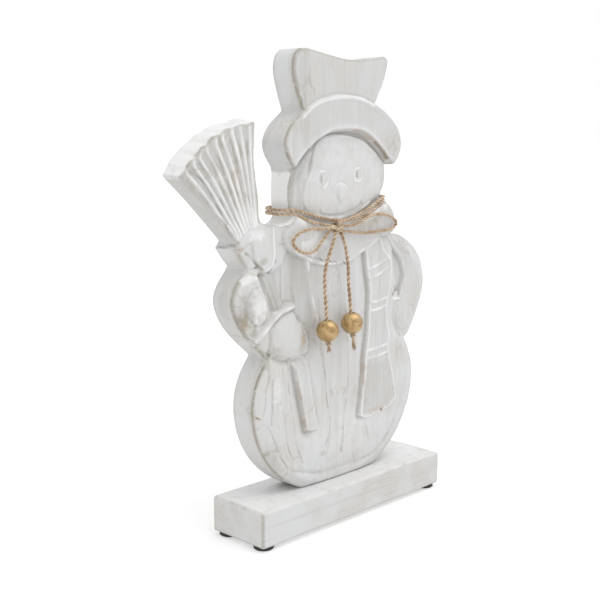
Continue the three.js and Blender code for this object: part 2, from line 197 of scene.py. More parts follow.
def whitewash(name, grain=(420, 420, 14), streaks=1.0):
    """Thin white paint over wood: grain and cracks show through, hollows are greyer with grime and painted
    shade, edges are rubbed.
    """
    n = Nodes(name)
    fibres = n.noise(n.stretched(grain), 1.0, 5.0, 0.6, 0.35)
    coarse = n.noise(n.stretched((grain[0] * 0.22, grain[1] * 0.22, grain[2] * 0.6)), 1.0, 4.0, 0.55, 0.8)
    patches = n.noise(n.place, 26.0, 3.0, 0.55, 0.4)
    blotches = n.noise(n.place, 70.0, 4.0, 0.6)
    fine = n.noise(n.place, 900.0, 2.0, 0.6)
    cracks = n.cracks((grain[0] * 0.17, grain[1] * 0.17, max(grain[2] * 1.6, grain[2] * 0.17)))
    cracked = n.times(n.ramp(cracks, 0.0, 0.045, 1.0, 0.0), n.ramp(patches, 0.5, 0.66))
    worn_through = n.ramp(n.noise(n.place, 240.0, 4.0, 0.65), 0.30, 0.47)
    wash_and_highlight = n.attribute("wash_and_highlight")
    brushed = n.ramp(n.math("ADD", n.noise(n.place, 110.0, 3.0), n.times(wash_and_highlight, 0.25)), 0.36, 0.60)
    layers = [
        (n.times(n.ramp(coarse, 0.52, 0.72), 0.5 * streaks), GREY_GRAIN),
        (n.times(n.ramp(fibres, 0.56, 0.74), 0.5 * streaks), BEIGE_GRAIN),
        (n.times(n.ramp(blotches, 0.56, 0.72), 0.3), BLOTCH),
        (n.times(cracked, 0.4 * streaks), CRACKLE),
        # grime and painted shade in hollows; painted shadow lines ride on the wear and stains, painted
        # highlights on the thick wash
        (n.times(n.attribute("shade_and_grime"), 0.55), HOLLOW_GRIME_AND_SHADE),
        (n.times(n.times(n.attribute("wear_and_shade"), worn_through), 0.9), RUBBED_WOOD_AND_SHADE),
        (n.times(n.times(wash_and_highlight, brushed), 0.85), THICK_WASH_AND_HIGHLIGHT),
        (n.attribute("grey_stain_and_shade"), GREY_STAIN_AND_SHADE_TINT),
        (n.attribute("brown_stain_and_shade"), BROWN_STAIN_AND_SHADE_TINT),
        (n.attribute("dark"), DARK_CRACK)]
    color = n.mix(n.ramp(patches, 0.35, 0.68), WASH_COOL, WASH_WARM)
    for amount, tint in layers:
        color = n.mix(amount, color, tint)
    saw = n.new("ShaderNodeTexNoise")
    saw.noise_dimensions = "1D"
    n.put(saw.inputs["W"], n.attribute("round_the_edge"))
    saw.inputs["Scale"].default_value = 700.0
    saw.inputs["Detail"].default_value = 3.0
    normal = n.bump(saw.outputs["Fac"], 0.00022, 0.6)
    normal = n.bump(n.math("ADD", fibres, n.times(coarse, 0.7)), 0.00022, 0.7, normal)
    normal = n.bump(n.times(cracked, -1.0), 0.0002, 0.6, normal)
    normal = n.bump(fine, 0.00008, 0.5, normal)
    return n.finish(color, n.ramp(patches, 0.3, 0.7, 0.62, 0.78), normal, Specular_IOR_Level=0.3)


def jute(name):
    """Twisted plant fibre, with painted shade between the plies."""
    n = Nodes(name)
    fibre = n.noise(n.place, 1500.0, 4.0, 0.7)
    tone = n.noise(n.place, 120.0, 3.0, 0.6)
    color = n.mix(n.ramp(tone, 0.35, 0.65), (0.44, 0.312, 0.19), (0.70, 0.555, 0.405))
    color = n.mix(n.ramp(fibre, 0.45, 0.75), color, (0.31, 0.205, 0.125))
    # painted shade between the plies
    color = n.mix(n.attribute("ply_shade"), color, (0.13, 0.065, 0.028))
    normal = n.bump(fibre, 0.0003, 0.9)
    return n.finish(color, 0.9, normal, Specular_IOR_Level=0.25, Sheen_Weight=0.25, Sheen_Roughness=0.5)


def gold_paint(name):
    """Gold paint brushed on a wooden bead, thin in places."""
    n = Nodes(name)
    blotch = n.noise(n.place, 230.0, 4.0, 0.6, 0.5)
    fleck = n.noise(n.place, 1300.0, 3.0, 0.6)
    color = n.mix(n.ramp(blotch, 0.35, 0.66), (0.54, 0.375, 0.18), (0.33, 0.21, 0.085))
    color = n.mix(n.times(n.ramp(fleck, 0.55, 0.75), 0.5), color, (0.74, 0.60, 0.37))
    # painted shade in the bore
    color = n.mix(n.times(n.attribute("shade_and_grime"), 0.8), color, (0.10, 0.05, 0.02))
    rough = n.ramp(blotch, 0.3, 0.7, 0.22, 0.42)
    normal = n.bump(blotch, 0.0005, 0.5)
    normal = n.bump(fleck, 0.0001, 0.5, normal)
    return n.finish(color, rough, normal, Metallic=0.45)


def rubber(name):
    n = Nodes(name)
    grain = n.noise(n.place, 1800.0, 2.0, 0.6)
    dust = n.noise(n.place, 180.0, 3.0, 0.6)
    color = n.mix(n.ramp(dust, 0.45, 0.8), (0.013, 0.013, 0.014), (0.035, 0.034, 0.032))
    return n.finish(color, n.ramp(dust, 0.3, 0.8, 0.55, 0.8), n.bump(grain, 0.00006, 0.6))


def zinc(name):
    n = Nodes(name)
    bloom = n.noise(n.place, 700.0, 3.0, 0.6)
    color = n.mix(n.ramp(bloom, 0.35, 0.7), (0.46, 0.46, 0.45), (0.60, 0.60, 0.58))
    return n.finish(color, n.ramp(bloom, 0.3, 0.7, 0.28, 0.45), n.bump(bloom, 0.00003, 0.5), Metallic=1.0)


WHITEWASH = whitewash("whitewashed_figure")
WHITEWASH_BASE = whitewash("whitewashed_block", (14, 420, 420), 0.8)
JUTE = jute("jute_twine")
GOLD = gold_paint("gold_bead_paint")
RUBBER = rubber("black_rubber_feet")
ZINC = zinc("zinc_screws")


def piece(name, vertices, faces, material, body, replaced=(), attributes=None, smooth=True):
    """One mesh object from points in the frame's metres, riding on its body."""
    mesh = bpy.data.meshes.new(name)
    mesh.from_pydata([tuple(v) for v in vertices], [], [tuple(f) for f in faces])
    mesh.update()
    for key, values in (attributes or {}).items():
        mesh.attributes.new(key, "FLOAT", "POINT").data.foreach_set("value", np.asarray(values, np.float32))
    if smooth:
        mesh.shade_smooth()
    made = bpy.data.objects.new(name, mesh)
    bpy.context.collection.objects.link(made)
    mesh.materials.append(material)
    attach(made, body)
    if replaced:
        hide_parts(*replaced)
    return made


# ---- the twine ----
TWINE = 2.4  # diameter
LOOSE_TWINE = 2.75  # where it hangs and its plies spread
PLY_PITCH = 7.5
PLY_SIDES = 9
TAIL_DARKENING = 0.22  # the tails are a little darker than the bow
HAIRS_PER_MM = 0.8

NECK_TURN = [(-50.6, -8, 220.4), (-54.4, -4, 220.2), (-54.6, 12, 220.6), (-50.4, 15.6, 220.8),
             (-4, 14.4, 222.8), (42.6, 15.8, 224.4), (48.6, 12, 224.8), (48.4, -4, 225),
             (42.6, -8.6, 224.6), (16, -12.6, 215.2)]
TURN_RISE = 2.9
NECK_ROUTE = [(-20.6, -13.8, 211.2), (-34, -12.6, 214.2), *NECK_TURN, (-14.6, -12.4, 214.6),
              *[(x, y, z + TURN_RISE) for x, y, z in NECK_TURN], (-9.4, -13.8, 212)]
LOOP_LEFT = [(-19.6, -16.6, 210.2), (-30, -16.2, 209.6), (-42, -15.4, 210), (-52, -14.8, 207),
             (-56.4, -14.6, 202.6), (-52.6, -14.6, 197.6), (-44, -14.6, 193.8), (-35, -14.6, 194.8),
             (-27, -14.7, 201.6), (-20.6, -14.8, 207.2)]
LOOP_RIGHT = [(-10.4, -16.6, 210.6), (1, -16.2, 210), (11, -15.8, 212.2), (22, -15.2, 215.4),
              (34, -14.8, 216), (45, -14.4, 213.6), (52.4, -14, 208.6), (48.6, -14, 204.8),
              (36, -14.2, 203.8), (18, -14.6, 203.6), (2, -14.6, 205.2), (-10.2, -14.6, 207.6)]
TAIL_LEFT = [(-17.4, -17.7, 205.8), (-18.8, -17.8, 202.6), (-22.8, -18, 195), (-28.6, -18.6, 182),
             (-30.2, -19.4, 170)]
TAIL_RIGHT = [(-12.2, -17.7, 206), (-10.6, -17.8, 202.8), (-7.6, -18, 195), (-5.4, -18.4, 182),
              (-5.6, -19.2, 170)]
BEAD_LEFT = (-29, -21.1, 139.4)
BEAD_RIGHT = (-3.8, -21.1, 141.6)
BEAD_RADIUS = 7.9
BEAD_FLAT = 7.2  # from the bead's middle to its flattened ends
BEAD_BORE = 1.75  # radius
TUFT = {"left": 4.2, "right": 8.6}  # length of the frayed ends
KNOT = (-15, -16.6, 210.5)


def through(points, spacing=1.0):
    """A centripetal Catmull-Rom curve through the points, at even steps of about spacing."""
    p = np.array(points, float)
    p = np.vstack([2 * p[0] - p[1], p, 2 * p[-1] - p[-2]])
    out = []
    for a, b, c, d in zip(p[:-3], p[1:-2], p[2:-1], p[3:]):
        t0 = 0.0
        t1 = t0 + math.sqrt(np.linalg.norm(b - a))
        t2 = t1 + math.sqrt(np.linalg.norm(c - b))
        t3 = t2 + math.sqrt(np.linalg.norm(d - c))
        t = np.linspace(t1, t2, 24, endpoint=False)[:, None]
        a1 = (t1 - t) / (t1 - t0) * a + (t - t0) / (t1 - t0) * b
        a2 = (t2 - t) / (t2 - t1) * b + (t - t1) / (t2 - t1) * c
        a3 = (t3 - t) / (t3 - t2) * c + (t - t2) / (t3 - t2) * d
        b1 = (t2 - t) / (t2 - t0) * a1 + (t - t0) / (t2 - t0) * a2
        b2 = (t3 - t) / (t3 - t1) * a2 + (t - t1) / (t3 - t1) * a3
        out.append((t2 - t) / (t2 - t1) * b1 + (t - t1) / (t2 - t1) * b2)
    line = np.vstack([*out, p[-2:-1]])
    return even(line, spacing)


def even(line, spacing):
    """The same polyline in even steps of about spacing."""
    steps = np.linalg.norm(np.diff(line, axis=0), axis=1)
    far = np.concatenate([[0], np.cumsum(steps)])
    count = max(2, int(round(far[-1] / spacing)) + 1)
    marks = np.linspace(0, far[-1], count)
    return np.stack([np.interp(marks, far, line[:, i]) for i in range(line.shape[1])], 1)


def length_of(line):
    return float(np.linalg.norm(np.diff(line, axis=0), axis=1).sum())


def carried_frames(line):
    """Two side vectors at each point, carried along the line without twist."""
    tangent = np.gradient(line, axis=0)
    tangent /= np.linalg.norm(tangent, axis=1)[:, None]
    side = np.cross(tangent[0], (0.3, 0.9, 0.2))
    side /= np.linalg.norm(side)
    sides = []
    for t in tangent:
        side = side - t * np.dot(side, t)
        side = side / np.linalg.norm(side)
        sides.append(side)
    sides = np.array(sides)
    return sides, np.cross(tangent, sides)


def tube_mesh(line, radius, sides):
    """Vertices and faces of a capped tube whose radius may be a number or one number a point."""
    u, v = carried_frames(line)
    radius = np.broadcast_to(np.asarray(radius, float), (len(line),))
    turn = np.linspace(0, 2 * math.pi, sides, endpoint=False)
    ring = u[:, None] * np.cos(turn)[None, :, None] + v[:, None] * np.sin(turn)[None, :, None]
    vertices = (line[:, None] + ring * radius[:, None, None]).reshape(-1, 3)
    faces = []
    for i in range(len(line) - 1):
        for j in range(sides):
            k = (j + 1) % sides
            faces.append((i * sides + j, i * sides + k, (i + 1) * sides + k, (i + 1) * sides + j))
    faces.append(tuple(range(sides))[::-1])
    faces.append(tuple((len(line) - 1) * sides + j for j in range(sides)))
    return vertices, faces


class Soup:
    """Collects tubes into one mesh, with painted shade by how deep each vertex lies between the plies."""

    def __init__(self):
        self.vertices, self.faces, self.ply_shade = [], [], []

    def add(self, vertices, faces, ply_shade):
        start = len(self.vertices)
        self.vertices.extend(vertices)
        self.faces.extend(tuple(i + start for i in f) for f in faces)
        self.ply_shade.extend(ply_shade)

    def twine(self, line, rng, diameter=TWINE, shade=0.0):
        """Two plies wound round the line, with stray fibres."""
        far = np.concatenate([[0], np.cumsum(np.linalg.norm(np.diff(line, axis=0), axis=1))])
        u, v = carried_frames(line)
        ply = diameter * 0.27
        for k in range(2):
            turn = math.pi * k + 2 * math.pi * far / PLY_PITCH
            swell = 1 + 0.09 * np.sin(far * 0.9 + 2.1 * k) + 0.05 * np.sin(far * 2.3 + k)
            offset = u * np.cos(turn)[:, None] + v * np.sin(turn)[:, None]
            strand = line + offset * (ply * 0.85)
            vertices, faces = tube_mesh(strand, ply * 1.02 * swell, PLY_SIDES)
            reach = np.linalg.norm(vertices - np.repeat(line, PLY_SIDES, 0), axis=1)
            # painted shade deep between the plies, raised all over by shade
            self.add(vertices, faces, np.clip((diameter * 0.38 - reach) / (diameter * 0.22) + shade, 0, 1))
        self.fuzz(line, u, v, rng, diameter)

    def fuzz(self, line, u, v, rng, diameter):
        """Short hairs that stand off the twine and lean along it."""
        for _ in range(int(length_of(line) * HAIRS_PER_MM)):
            i = int(rng.integers(1, len(line) - 1))
            turn = rng.uniform(0, 2 * math.pi)
            out = u[i] * math.cos(turn) + v[i] * math.sin(turn)
            ahead = line[i + 1] - line[i - 1]
            ahead = ahead / np.linalg.norm(ahead) * rng.choice([-1, 1])
            start = line[i] + out * diameter * 0.4
            reach = rng.uniform(0.8, 1.9)
            lean = rng.uniform(0.3, 1.2)
            marks = np.linspace(0, 1, 4)[:, None]
            hair = start + out * (reach * marks) + ahead * (lean * reach * marks**2)
            vertices, faces = tube_mesh(hair, np.array([0.09, 0.075, 0.055, 0.03]), 3)
            self.add(vertices, faces, [0.0] * len(vertices))

    def fibre(self, line, thick):
        vertices, faces = tube_mesh(line, thick * np.linspace(1, 0.45, len(line)), 5)
        # a little painted shade on each frayed fibre
        self.add(vertices, faces, [0.15] * len(vertices))

    def made(self, name, body, replaced):
        points = [at(*v) for v in self.vertices]
        return piece(name, points, self.faces, JUTE, body, replaced, {"ply_shade": self.ply_shade})


def bead_axis(tail, centre):
    axis = np.array(tail[-1], float) - np.array(centre, float)
    return axis / np.linalg.norm(axis)


def make_bow_cord(node, route, seed):
    """A stretch of the twine from the knot round its route and back to the knot."""
    line = through([KNOT, *route, KNOT])
    soup = Soup()
    soup.twine(line, np.random.default_rng(seed))
    made = soup.made(f"{node}_twisted", "figure", [node])


def make_bow_knot():
    """The bow's knot: two tight turns of the twine over the crossing strands."""
    rng = np.random.default_rng(14)
    soup = Soup()
    x, y, z = KNOT
    wrap = []
    for i in range(34):
        turn = 2 * math.pi * i / 16
        slip = (i - 17) * 0.12
        wrap.append((x - 0.3 + slip + 1.1 * math.cos(turn), y + 3.0 * math.sin(turn),
                     z + 3.9 * math.cos(turn)))
    soup.twine(through(wrap, 0.8), rng, shade=0.25)
    lean = [(x - 5.4, y + 0.6, z + 0.2), (x - 2.6, y - 1.6, z - 1.0), (x + 1.2, y - 2.2, z - 1.6),
            (x + 4.8, y - 0.2, z + 0.4)]
    soup.twine(through(lean, 0.8), rng)
    soup.made("bow_knot_tied", "figure", ["bow_knot"])


def make_bead(side, centre, axis):
    """A turned bead: softened bore edges, a slightly uneven wall."""
    rings, around = 26, 56
    rng = np.random.default_rng(21 if side == "left" else 22)
    lobes = rng.uniform(0, 2 * math.pi, 2)
    mouth = [(BEAD_BORE + 0.5, BEAD_FLAT + 0.1), (BEAD_BORE, BEAD_FLAT - 0.5),
             (BEAD_BORE - 0.1, BEAD_FLAT - 1.6)]
    profile = [(radius, -height) for radius, height in reversed(mouth)]
    for i in range(rings + 1):
        height = -BEAD_FLAT + 2 * BEAD_FLAT * i / rings
        profile.append((math.sqrt(BEAD_RADIUS**2 - height**2), height))
    profile += mouth
    turned = Vector((0, 0, 1)).rotation_difference(Vector(axis)).to_matrix()
    vertices, shade_and_grime = [], []
    for radius, height in profile:
        for j in range(around):
            a = 2 * math.pi * j / around
            uneven = 0.006 * math.sin(2 * a + lobes[0]) + 0.004 * math.sin(3 * a + lobes[1] + height * 0.3)
            wide = radius * (1 + uneven)
            local = Vector((wide * math.cos(a), wide * math.sin(a), height))
            vertices.append(at(*(Vector(centre) + turned @ local)))
            # painted shade in the bore, lighter round its mouth
            shade_and_grime.append(1.0 if radius < BEAD_BORE + 0.2 else (0.45 if radius < BEAD_BORE + 0.9 else 0.0))
    faces = []
    rows = len(profile)
    for i in range(rows):
        n = (i + 1) % rows
        for j in range(around):
            k = (j + 1) % around
            faces.append((i * around + j, i * around + k, n * around + k, n * around + j))
    return piece(f"bead_{side}_turned", vertices, faces, GOLD, f"{side}_bead",
                 [f"bead_{side}"], {"shade_and_grime": shade_and_grime})


def make_end_knot(side, centre, axis):
    """An overhand knot under the bead and its frayed end."""
    rng = np.random.default_rng(31 if side == "left" else 32)
    down = -np.array(axis)
    across = np.cross(down, (0, 1, 0))
    across /= np.linalg.norm(across)
    third = np.cross(down, across)
    top = np.array(centre) + down * (BEAD_FLAT - 0.6)
    soup = Soup()
    turns = []
    for i in range(25):
        a = 2 * math.pi * i / 24
        radial = 1.05 + 0.42 * math.cos(3 * a)
        turns.append(top + down * (2.6 + 1.0 * math.sin(3 * a)) + across * radial * math.cos(2 * a)
                     + third * radial * math.sin(2 * a))
    soup.twine(through(turns, 0.6), rng, 1.9)
    for _ in range(46):
        a = rng.uniform(0, 2 * math.pi)
        spread = rng.uniform(0.2, 1.0)
        reach = rng.uniform(0.8, 1.1) * TUFT[side]
        marks = np.linspace(0, 1, 7)[:, None]
        out = across * math.cos(a) + third * math.sin(a)
        swirl = across * math.cos(a + 1.2) + third * math.sin(a + 1.2)
        start = top + down * 4.2 + out * 0.55 * spread
        splay = out * (1.15 * spread * marks**1.4) + swirl * (0.5 * np.sin(3 * marks))
        soup.fibre(start + down * (reach * marks) + splay, rng.uniform(0.13, 0.22))
    return soup.made(f"end_knot_{side}_frayed", f"{side}_tail", [f"end_knot_{side}"])


def make_tail(side, route, centre, seed):
    """A hanging end of the bow, with its bead and the knot under it."""
    rng = np.random.default_rng(seed)
    axis = bead_axis(route, centre)
    straight = [tuple(np.array(centre) + axis * up) for up in (22, 11, 0, -BEAD_FLAT - 0.3)]
    line = through([*route, *straight])
    soup = Soup()
    soup.twine(line, rng, LOOSE_TWINE, TAIL_DARKENING)
    made = soup.made(f"tail_{side}_twisted", f"{side}_tail",
                     [f"twine_tail_{side}_root", f"twine_tail_{side}"])
    bead = make_bead(side, centre, axis)
    knot = make_end_knot(side, centre, axis)


make_bow_cord("neck_twine", NECK_ROUTE, 11)
make_bow_cord("bow_loop_left", LOOP_LEFT, 12)
make_bow_cord("bow_loop_right", LOOP_RIGHT, 13)
make_bow_knot()
make_tail("left", TAIL_LEFT, BEAD_LEFT, 15)
make_tail("right", TAIL_RIGHT, BEAD_RIGHT, 16)

# ---- the carved figure: a field of heights over the plank's front ----
STEP = 0.5
XS = np.arange(-147.0, 97.0, STEP)
ZS = np.arange(24.5, 333.0, STEP)
X, Z = np.meshgrid(XS, ZS)
BACK = -12.7
GROUND = 5.0
MASKS = ("grey_stain_and_shade", "brown_stain_and_shade", "dark", "wash_and_highlight", "shade_and_grime", "wear_and_shade")
ALL = slice(None)


def smooth(t):
    t = np.clip(t, 0, 1)
    return t * t * (3 - 2 * t)


def curve(points, closed=False, spacing=1.6):
    """A uniform Catmull-Rom curve through (x, z) points."""
    p = np.array(points, float)
    if closed:
        p = np.vstack([p[-1:], p, p[:2]])
    else:
        p = np.vstack([2 * p[0] - p[1], p, 2 * p[-1] - p[-2]])
    out = []
    for a, b, c, d in zip(p[:-3], p[1:-2], p[2:-1], p[3:]):
        t = np.arange(max(2, int(np.hypot(*(c - b)) / spacing) + 1))[:, None]
        t = t / len(t)
        square, cube = 2 * a - 5 * b + 4 * c - d, 3 * b - a - 3 * c + d
        out.append(0.5 * (2 * b + (c - a) * t + square * t**2 + cube * t**3))
    if not closed:
        out.append(p[-2:-1])
    return np.vstack(out)


def smoothed(line):
    """A plain list of points as a curve; an array is a finished line already."""
    return curve(line) if isinstance(line, list) else line


def arc(cx, cz, rx, rz, start, end):
    """Part of an ellipse between two angles, in steps of about 12 degrees."""
    turn = np.radians(np.linspace(start, end, max(2, int(abs(end - start) / 12) + 1)))
    return np.stack([cx + rx * np.cos(turn), cz + rz * np.sin(turn)], 1)


def noise(cell_x, cell_z, seed, lean=0.0):
    """Smooth value noise from -1 to 1 with cells of that size."""
    rng = np.random.default_rng(seed)
    fx = (X - XS[0] + lean * (Z - ZS[0]) + 400) / cell_x
    fz = (Z - ZS[0]) / cell_z
    grid = rng.uniform(-1, 1, (int(fz.max()) + 2, int(fx.max()) + 2))
    i, j = fz.astype(int), fx.astype(int)
    u, v = smooth(fx - j), smooth(fz - i)
    low = grid[i, j] * (1 - u) + grid[i, j + 1] * u
    high = grid[i + 1, j] * (1 - u) + grid[i + 1, j + 1] * u
    return low * (1 - v) + high * v


def distance(line, closed, reach):
    """Distance to a line in a window round it; inside a closed one it is positive, outside negative."""
    low, high = line.min(0) - reach, line.max(0) + reach
    rows = slice(*np.searchsorted(ZS, (low[1], high[1])))
    columns = slice(*np.searchsorted(XS, (low[0], high[0])))
    px, pz = X[rows, columns], Z[rows, columns]
    nearest = np.full(px.shape, np.inf)
    inside = np.zeros(px.shape, bool)
    ends = np.roll(line, -1, 0) if closed else line[1:]
    for (ax, az), (bx, bz) in zip(line, ends):
        dx, dz = bx - ax, bz - az
        if dx == 0 and dz == 0:
            continue
        t = np.clip(((px - ax) * dx + (pz - az) * dz) / (dx * dx + dz * dz), 0, 1)
        np.minimum(nearest, (px - ax - t * dx) ** 2 + (pz - az - t * dz) ** 2, out=nearest)
        if closed and az != bz:
            inside ^= ((az > pz) != (bz > pz)) & (px < dx * (pz - az) / dz + ax)
    nearest = np.sqrt(nearest)
    return (rows, columns), np.where(inside, nearest, -nearest) if closed else nearest


def soft_max(a, b, k):
    h = np.clip(0.5 + 0.5 * (b - a) / k, 0, 1)
    return a * (1 - h) + b * h + k * h * (1 - h)


def depth_in(outline):
    """How far inside the outline each point lies; -1 outside it."""
    field = np.full(X.shape, -1.0)
    window, d = distance(outline, True, 1.0)
    field[window] = np.maximum(d, -1)
    return field


class Carving:
    """The height field and the painted masks that go with it."""

    def __init__(self):
        self.height = GROUND + 0.2 * noise(4, 20, 2)
        self.masks = {k: np.zeros(X.shape) for k in MASKS}
        self.patchy = 0.5 + 0.5 * noise(5, 7, 6)

    def mark(self, mask, window, amount):
        self.masks[mask][window] = np.maximum(self.masks[mask][window], amount)

    def lift(self, outline, top, wall=2.4, edge=1.2, blend=0.6, wash_and_highlight=0.0):
        """Raises the field to top inside the outline, with an arris and a wall, and wipes the paint."""
        window, d = distance(outline, True, 4.0)
        t = np.clip(1 - d / edge, 0, 1)
        here = top[window] if isinstance(top, np.ndarray) else top
        h = here - edge * 0.8 * (1 - np.sqrt(np.clip(1 - t * t, 0, 1))) - np.maximum(-d, 0) * wall
        self.height[window] = soft_max(self.height[window], h, blend)
        for mask in self.masks.values():
            mask[window] *= 1 - smooth(d + 0.6)
        # whiter wash and a painted highlight just inside the raised edge
        if wash_and_highlight:
            self.mark("wash_and_highlight", window, np.exp(-(((d - 0.7) / 0.8) ** 2)) * wash_and_highlight)

    def lower(self, line, bottom, slope, reach):
        """Cuts down to bottom along the line, rising away from it by slope."""
        window, d = distance(smoothed(line), False, reach)
        self.height[window] = -soft_max(-self.height[window], -bottom - slope * d, 0.8)

    def swell(self, outline, rise, width, moat=0.0):
        """Raises a low dome inside the outline, with a moat round it."""
        window, d = distance(outline, True, width)
        self.height[window] += rise * smooth((d + 0.3) / width) - moat * np.exp(-(((d + 0.8) / 0.8) ** 2))

    def paint(self, mask, line, width, strength, steady=0.35):
        """A thin line of paint; where steady is low it comes and goes."""
        window, d = distance(smoothed(line), False, width * 3)
        come_and_go = steady + (1 - steady) * smooth(self.patchy[window] * 2 - 0.5)
        self.mark(mask, window, strength * come_and_go * np.exp(-((d / width) ** 2)))

    def groove(self, line, depth, width, paint=0.0, mask="shade_and_grime", steady=0.35):
        """A rounded cut along the line, painted into the mask as well (by default grey and painted shade).
        """
        window, d = distance(smoothed(line), False, width * 3)
        self.height[window] -= depth * np.exp(-((d / width) ** 2))
        self.paint(mask, line, width, paint, steady)

    def ridge(self, line, rise, width, wash_and_highlight=0.0):
        """A rounded crest along the line, with whiter wash and a painted highlight on it."""
        self.groove(line, -rise, width, wash_and_highlight, "wash_and_highlight")

    def stain(self, mask, x, z, rx, rz, strength, seed=1, turn=0.0):
        """A soft ragged spot."""
        c, s = math.cos(turn), math.sin(turn)
        u = ((X - x) * c + (Z - z) * s) / rx
        v = (-(X - x) * s + (Z - z) * c) / rz
        ragged = 1 + 0.45 * noise(2.4, 2.4, seed) + 0.3 * noise(6, 6, seed + 50)
        self.mark(mask, ALL, strength * smooth(1.4 - 1.1 * np.sqrt(u * u + v * v) * ragged))


# Stretches of the plank's outline, anticlockwise as seen from the front, from the right of its foot.
BALL_X, BALL_Z, BALL_ACROSS, BALL_BELOW, BALL_ABOVE = -3.2, 90.0, 84.3, 72.0, 60.0
SEAT = math.degrees(math.asin((BALL_Z - 25.7) / BALL_BELOW))
RIGHT_ARM = [(71.6, 118.6), (76.5, 122.5), (85.5, 136), (92.2, 151), (93.8, 163), (90.3, 176.5)]
SHOULDER = [(88.6, 180), (82.5, 187), (74, 193.6), (63.5, 198.6), (52, 200.6)]
COLLAR_RIGHT = [(54.4, 204.2), (54.8, 210.6), (50.6, 219), (43.6, 225.2)]
HEAD_RIGHT = [(44.6, 230.6), (47, 240), (45.6, 251)]
BRIM_RIGHT = [(51.6, 251.6), (57.6, 259), (59.2, 267), (55.4, 277.4), (44.2, 287.4), (31.6, 294.6)]
CROWN_RIGHT = [(34.6, 299.6), (41.6, 311.2), (45.4, 322.4), (45.2, 326.6)]
CROWN_TOP = [(42.6, 328.4), (24, 325.9), (4, 324.7), (-16, 327.2), (-37, 330.4)]
CROWN_LEFT = [(-42.2, 330), (-46.9, 325.6), (-48.7, 316.6), (-45.8, 304), (-40.6, 289.4)]
BRIM_LEFT = [(-45, 286), (-53.6, 279), (-59, 269.4), (-57.8, 261), (-51.2, 251.4)]
HEAD_LEFT = [(-50.4, 247), (-51.2, 234), (-49.8, 218.4)]
SHOULDER_LEFT = [(-53, 214.8), (-60, 212.6), (-68, 214.4), (-75.4, 215.6)]
BROOM_RIGHT = [(-78, 219.4), (-78.8, 234), (-82, 255), (-81.6, 276)]
BROOM_TOP = [(-81.4, 281.6), (-88.0, 280.2), (-95.4, 279.8), (-98.6, 278), (-103.2, 277.8), (-108.4, 276.2),
             (-111.4, 273.6), (-116.4, 272.8), (-119.6, 270.4), (-122.2, 267.6), (-126.2, 266),
             (-129.6, 263), (-131.6, 259.8), (-135.4, 257.8), (-138.6, 254.2), (-140.4, 251.4),
             (-143.9, 248.5)]
BROOM_BACK = [(-143.9, 248.8), (-138.6, 257), (-135.5, 259.6), (-131.2, 264.5), (-125.2, 267.6),
              (-118.6, 272.6), (-108, 277.6), (-100.3, 280.2), (-92.5, 280.9), (-86.5, 283.9),
              (-82.4, 284.3)]  # the same edge at the back
BROOM_LEFT = [(-142.4, 246.8), (-125, 231.2), (-98.4, 204.8)]
RIBBON_LEFT = [(-101.9, 200.3), (-96.6, 193), (-91.4, 187.2)]
LEFT_ARM = [(-94, 184), (-101.4, 174.6), (-104.4, 164.6), (-99.6, 151.4), (-89.4, 138.8), (-73.2, 124.4)]


def ball(start, end):
    """The body's round outline between two angles; its upper half is flatter than its lower half."""
    turn = np.radians(np.linspace(start, end, int((end - start) / 3) + 1))
    half = np.where(np.sin(turn) > 0, BALL_ABOVE, BALL_BELOW)
    return np.stack([BALL_X + BALL_ACROSS * np.cos(turn), BALL_Z + half * np.sin(turn)], 1)


OUTLINE = np.vstack([ball(-SEAT, 26), curve(RIGHT_ARM), curve(SHOULDER), curve(COLLAR_RIGHT),
                     curve(HEAD_RIGHT), curve(BRIM_RIGHT), curve(CROWN_RIGHT), curve(CROWN_TOP),
                     curve(CROWN_LEFT), curve(BRIM_LEFT), curve(HEAD_LEFT), curve(SHOULDER_LEFT),
                     curve(BROOM_RIGHT), curve(BROOM_TOP), curve(BROOM_LEFT), curve(RIBBON_LEFT),
                     curve(LEFT_ARM), ball(147, 180 + SEAT)])


def strips(lines):
    """For strips between near-upright lines: which strip a point is in, how far across it, and its width."""
    xs = []
    for line in lines:
        line = np.array(sorted(line, key=lambda p: p[1]), float)
        xs.append(np.interp(Z, line[:, 1], line[:, 0]))
    index = np.zeros(X.shape, int)
    for x in xs:
        index += X > x
    xs = np.stack([xs[0] - 20, *xs, xs[-1] + 20])
    left = np.take_along_axis(xs, index[None], 0)[0]
    right = np.take_along_axis(xs, index[None] + 1, 0)[0]
    width = np.maximum(right - left, 0.5)
    return index, np.clip((X - left) / width, 0, 1), width


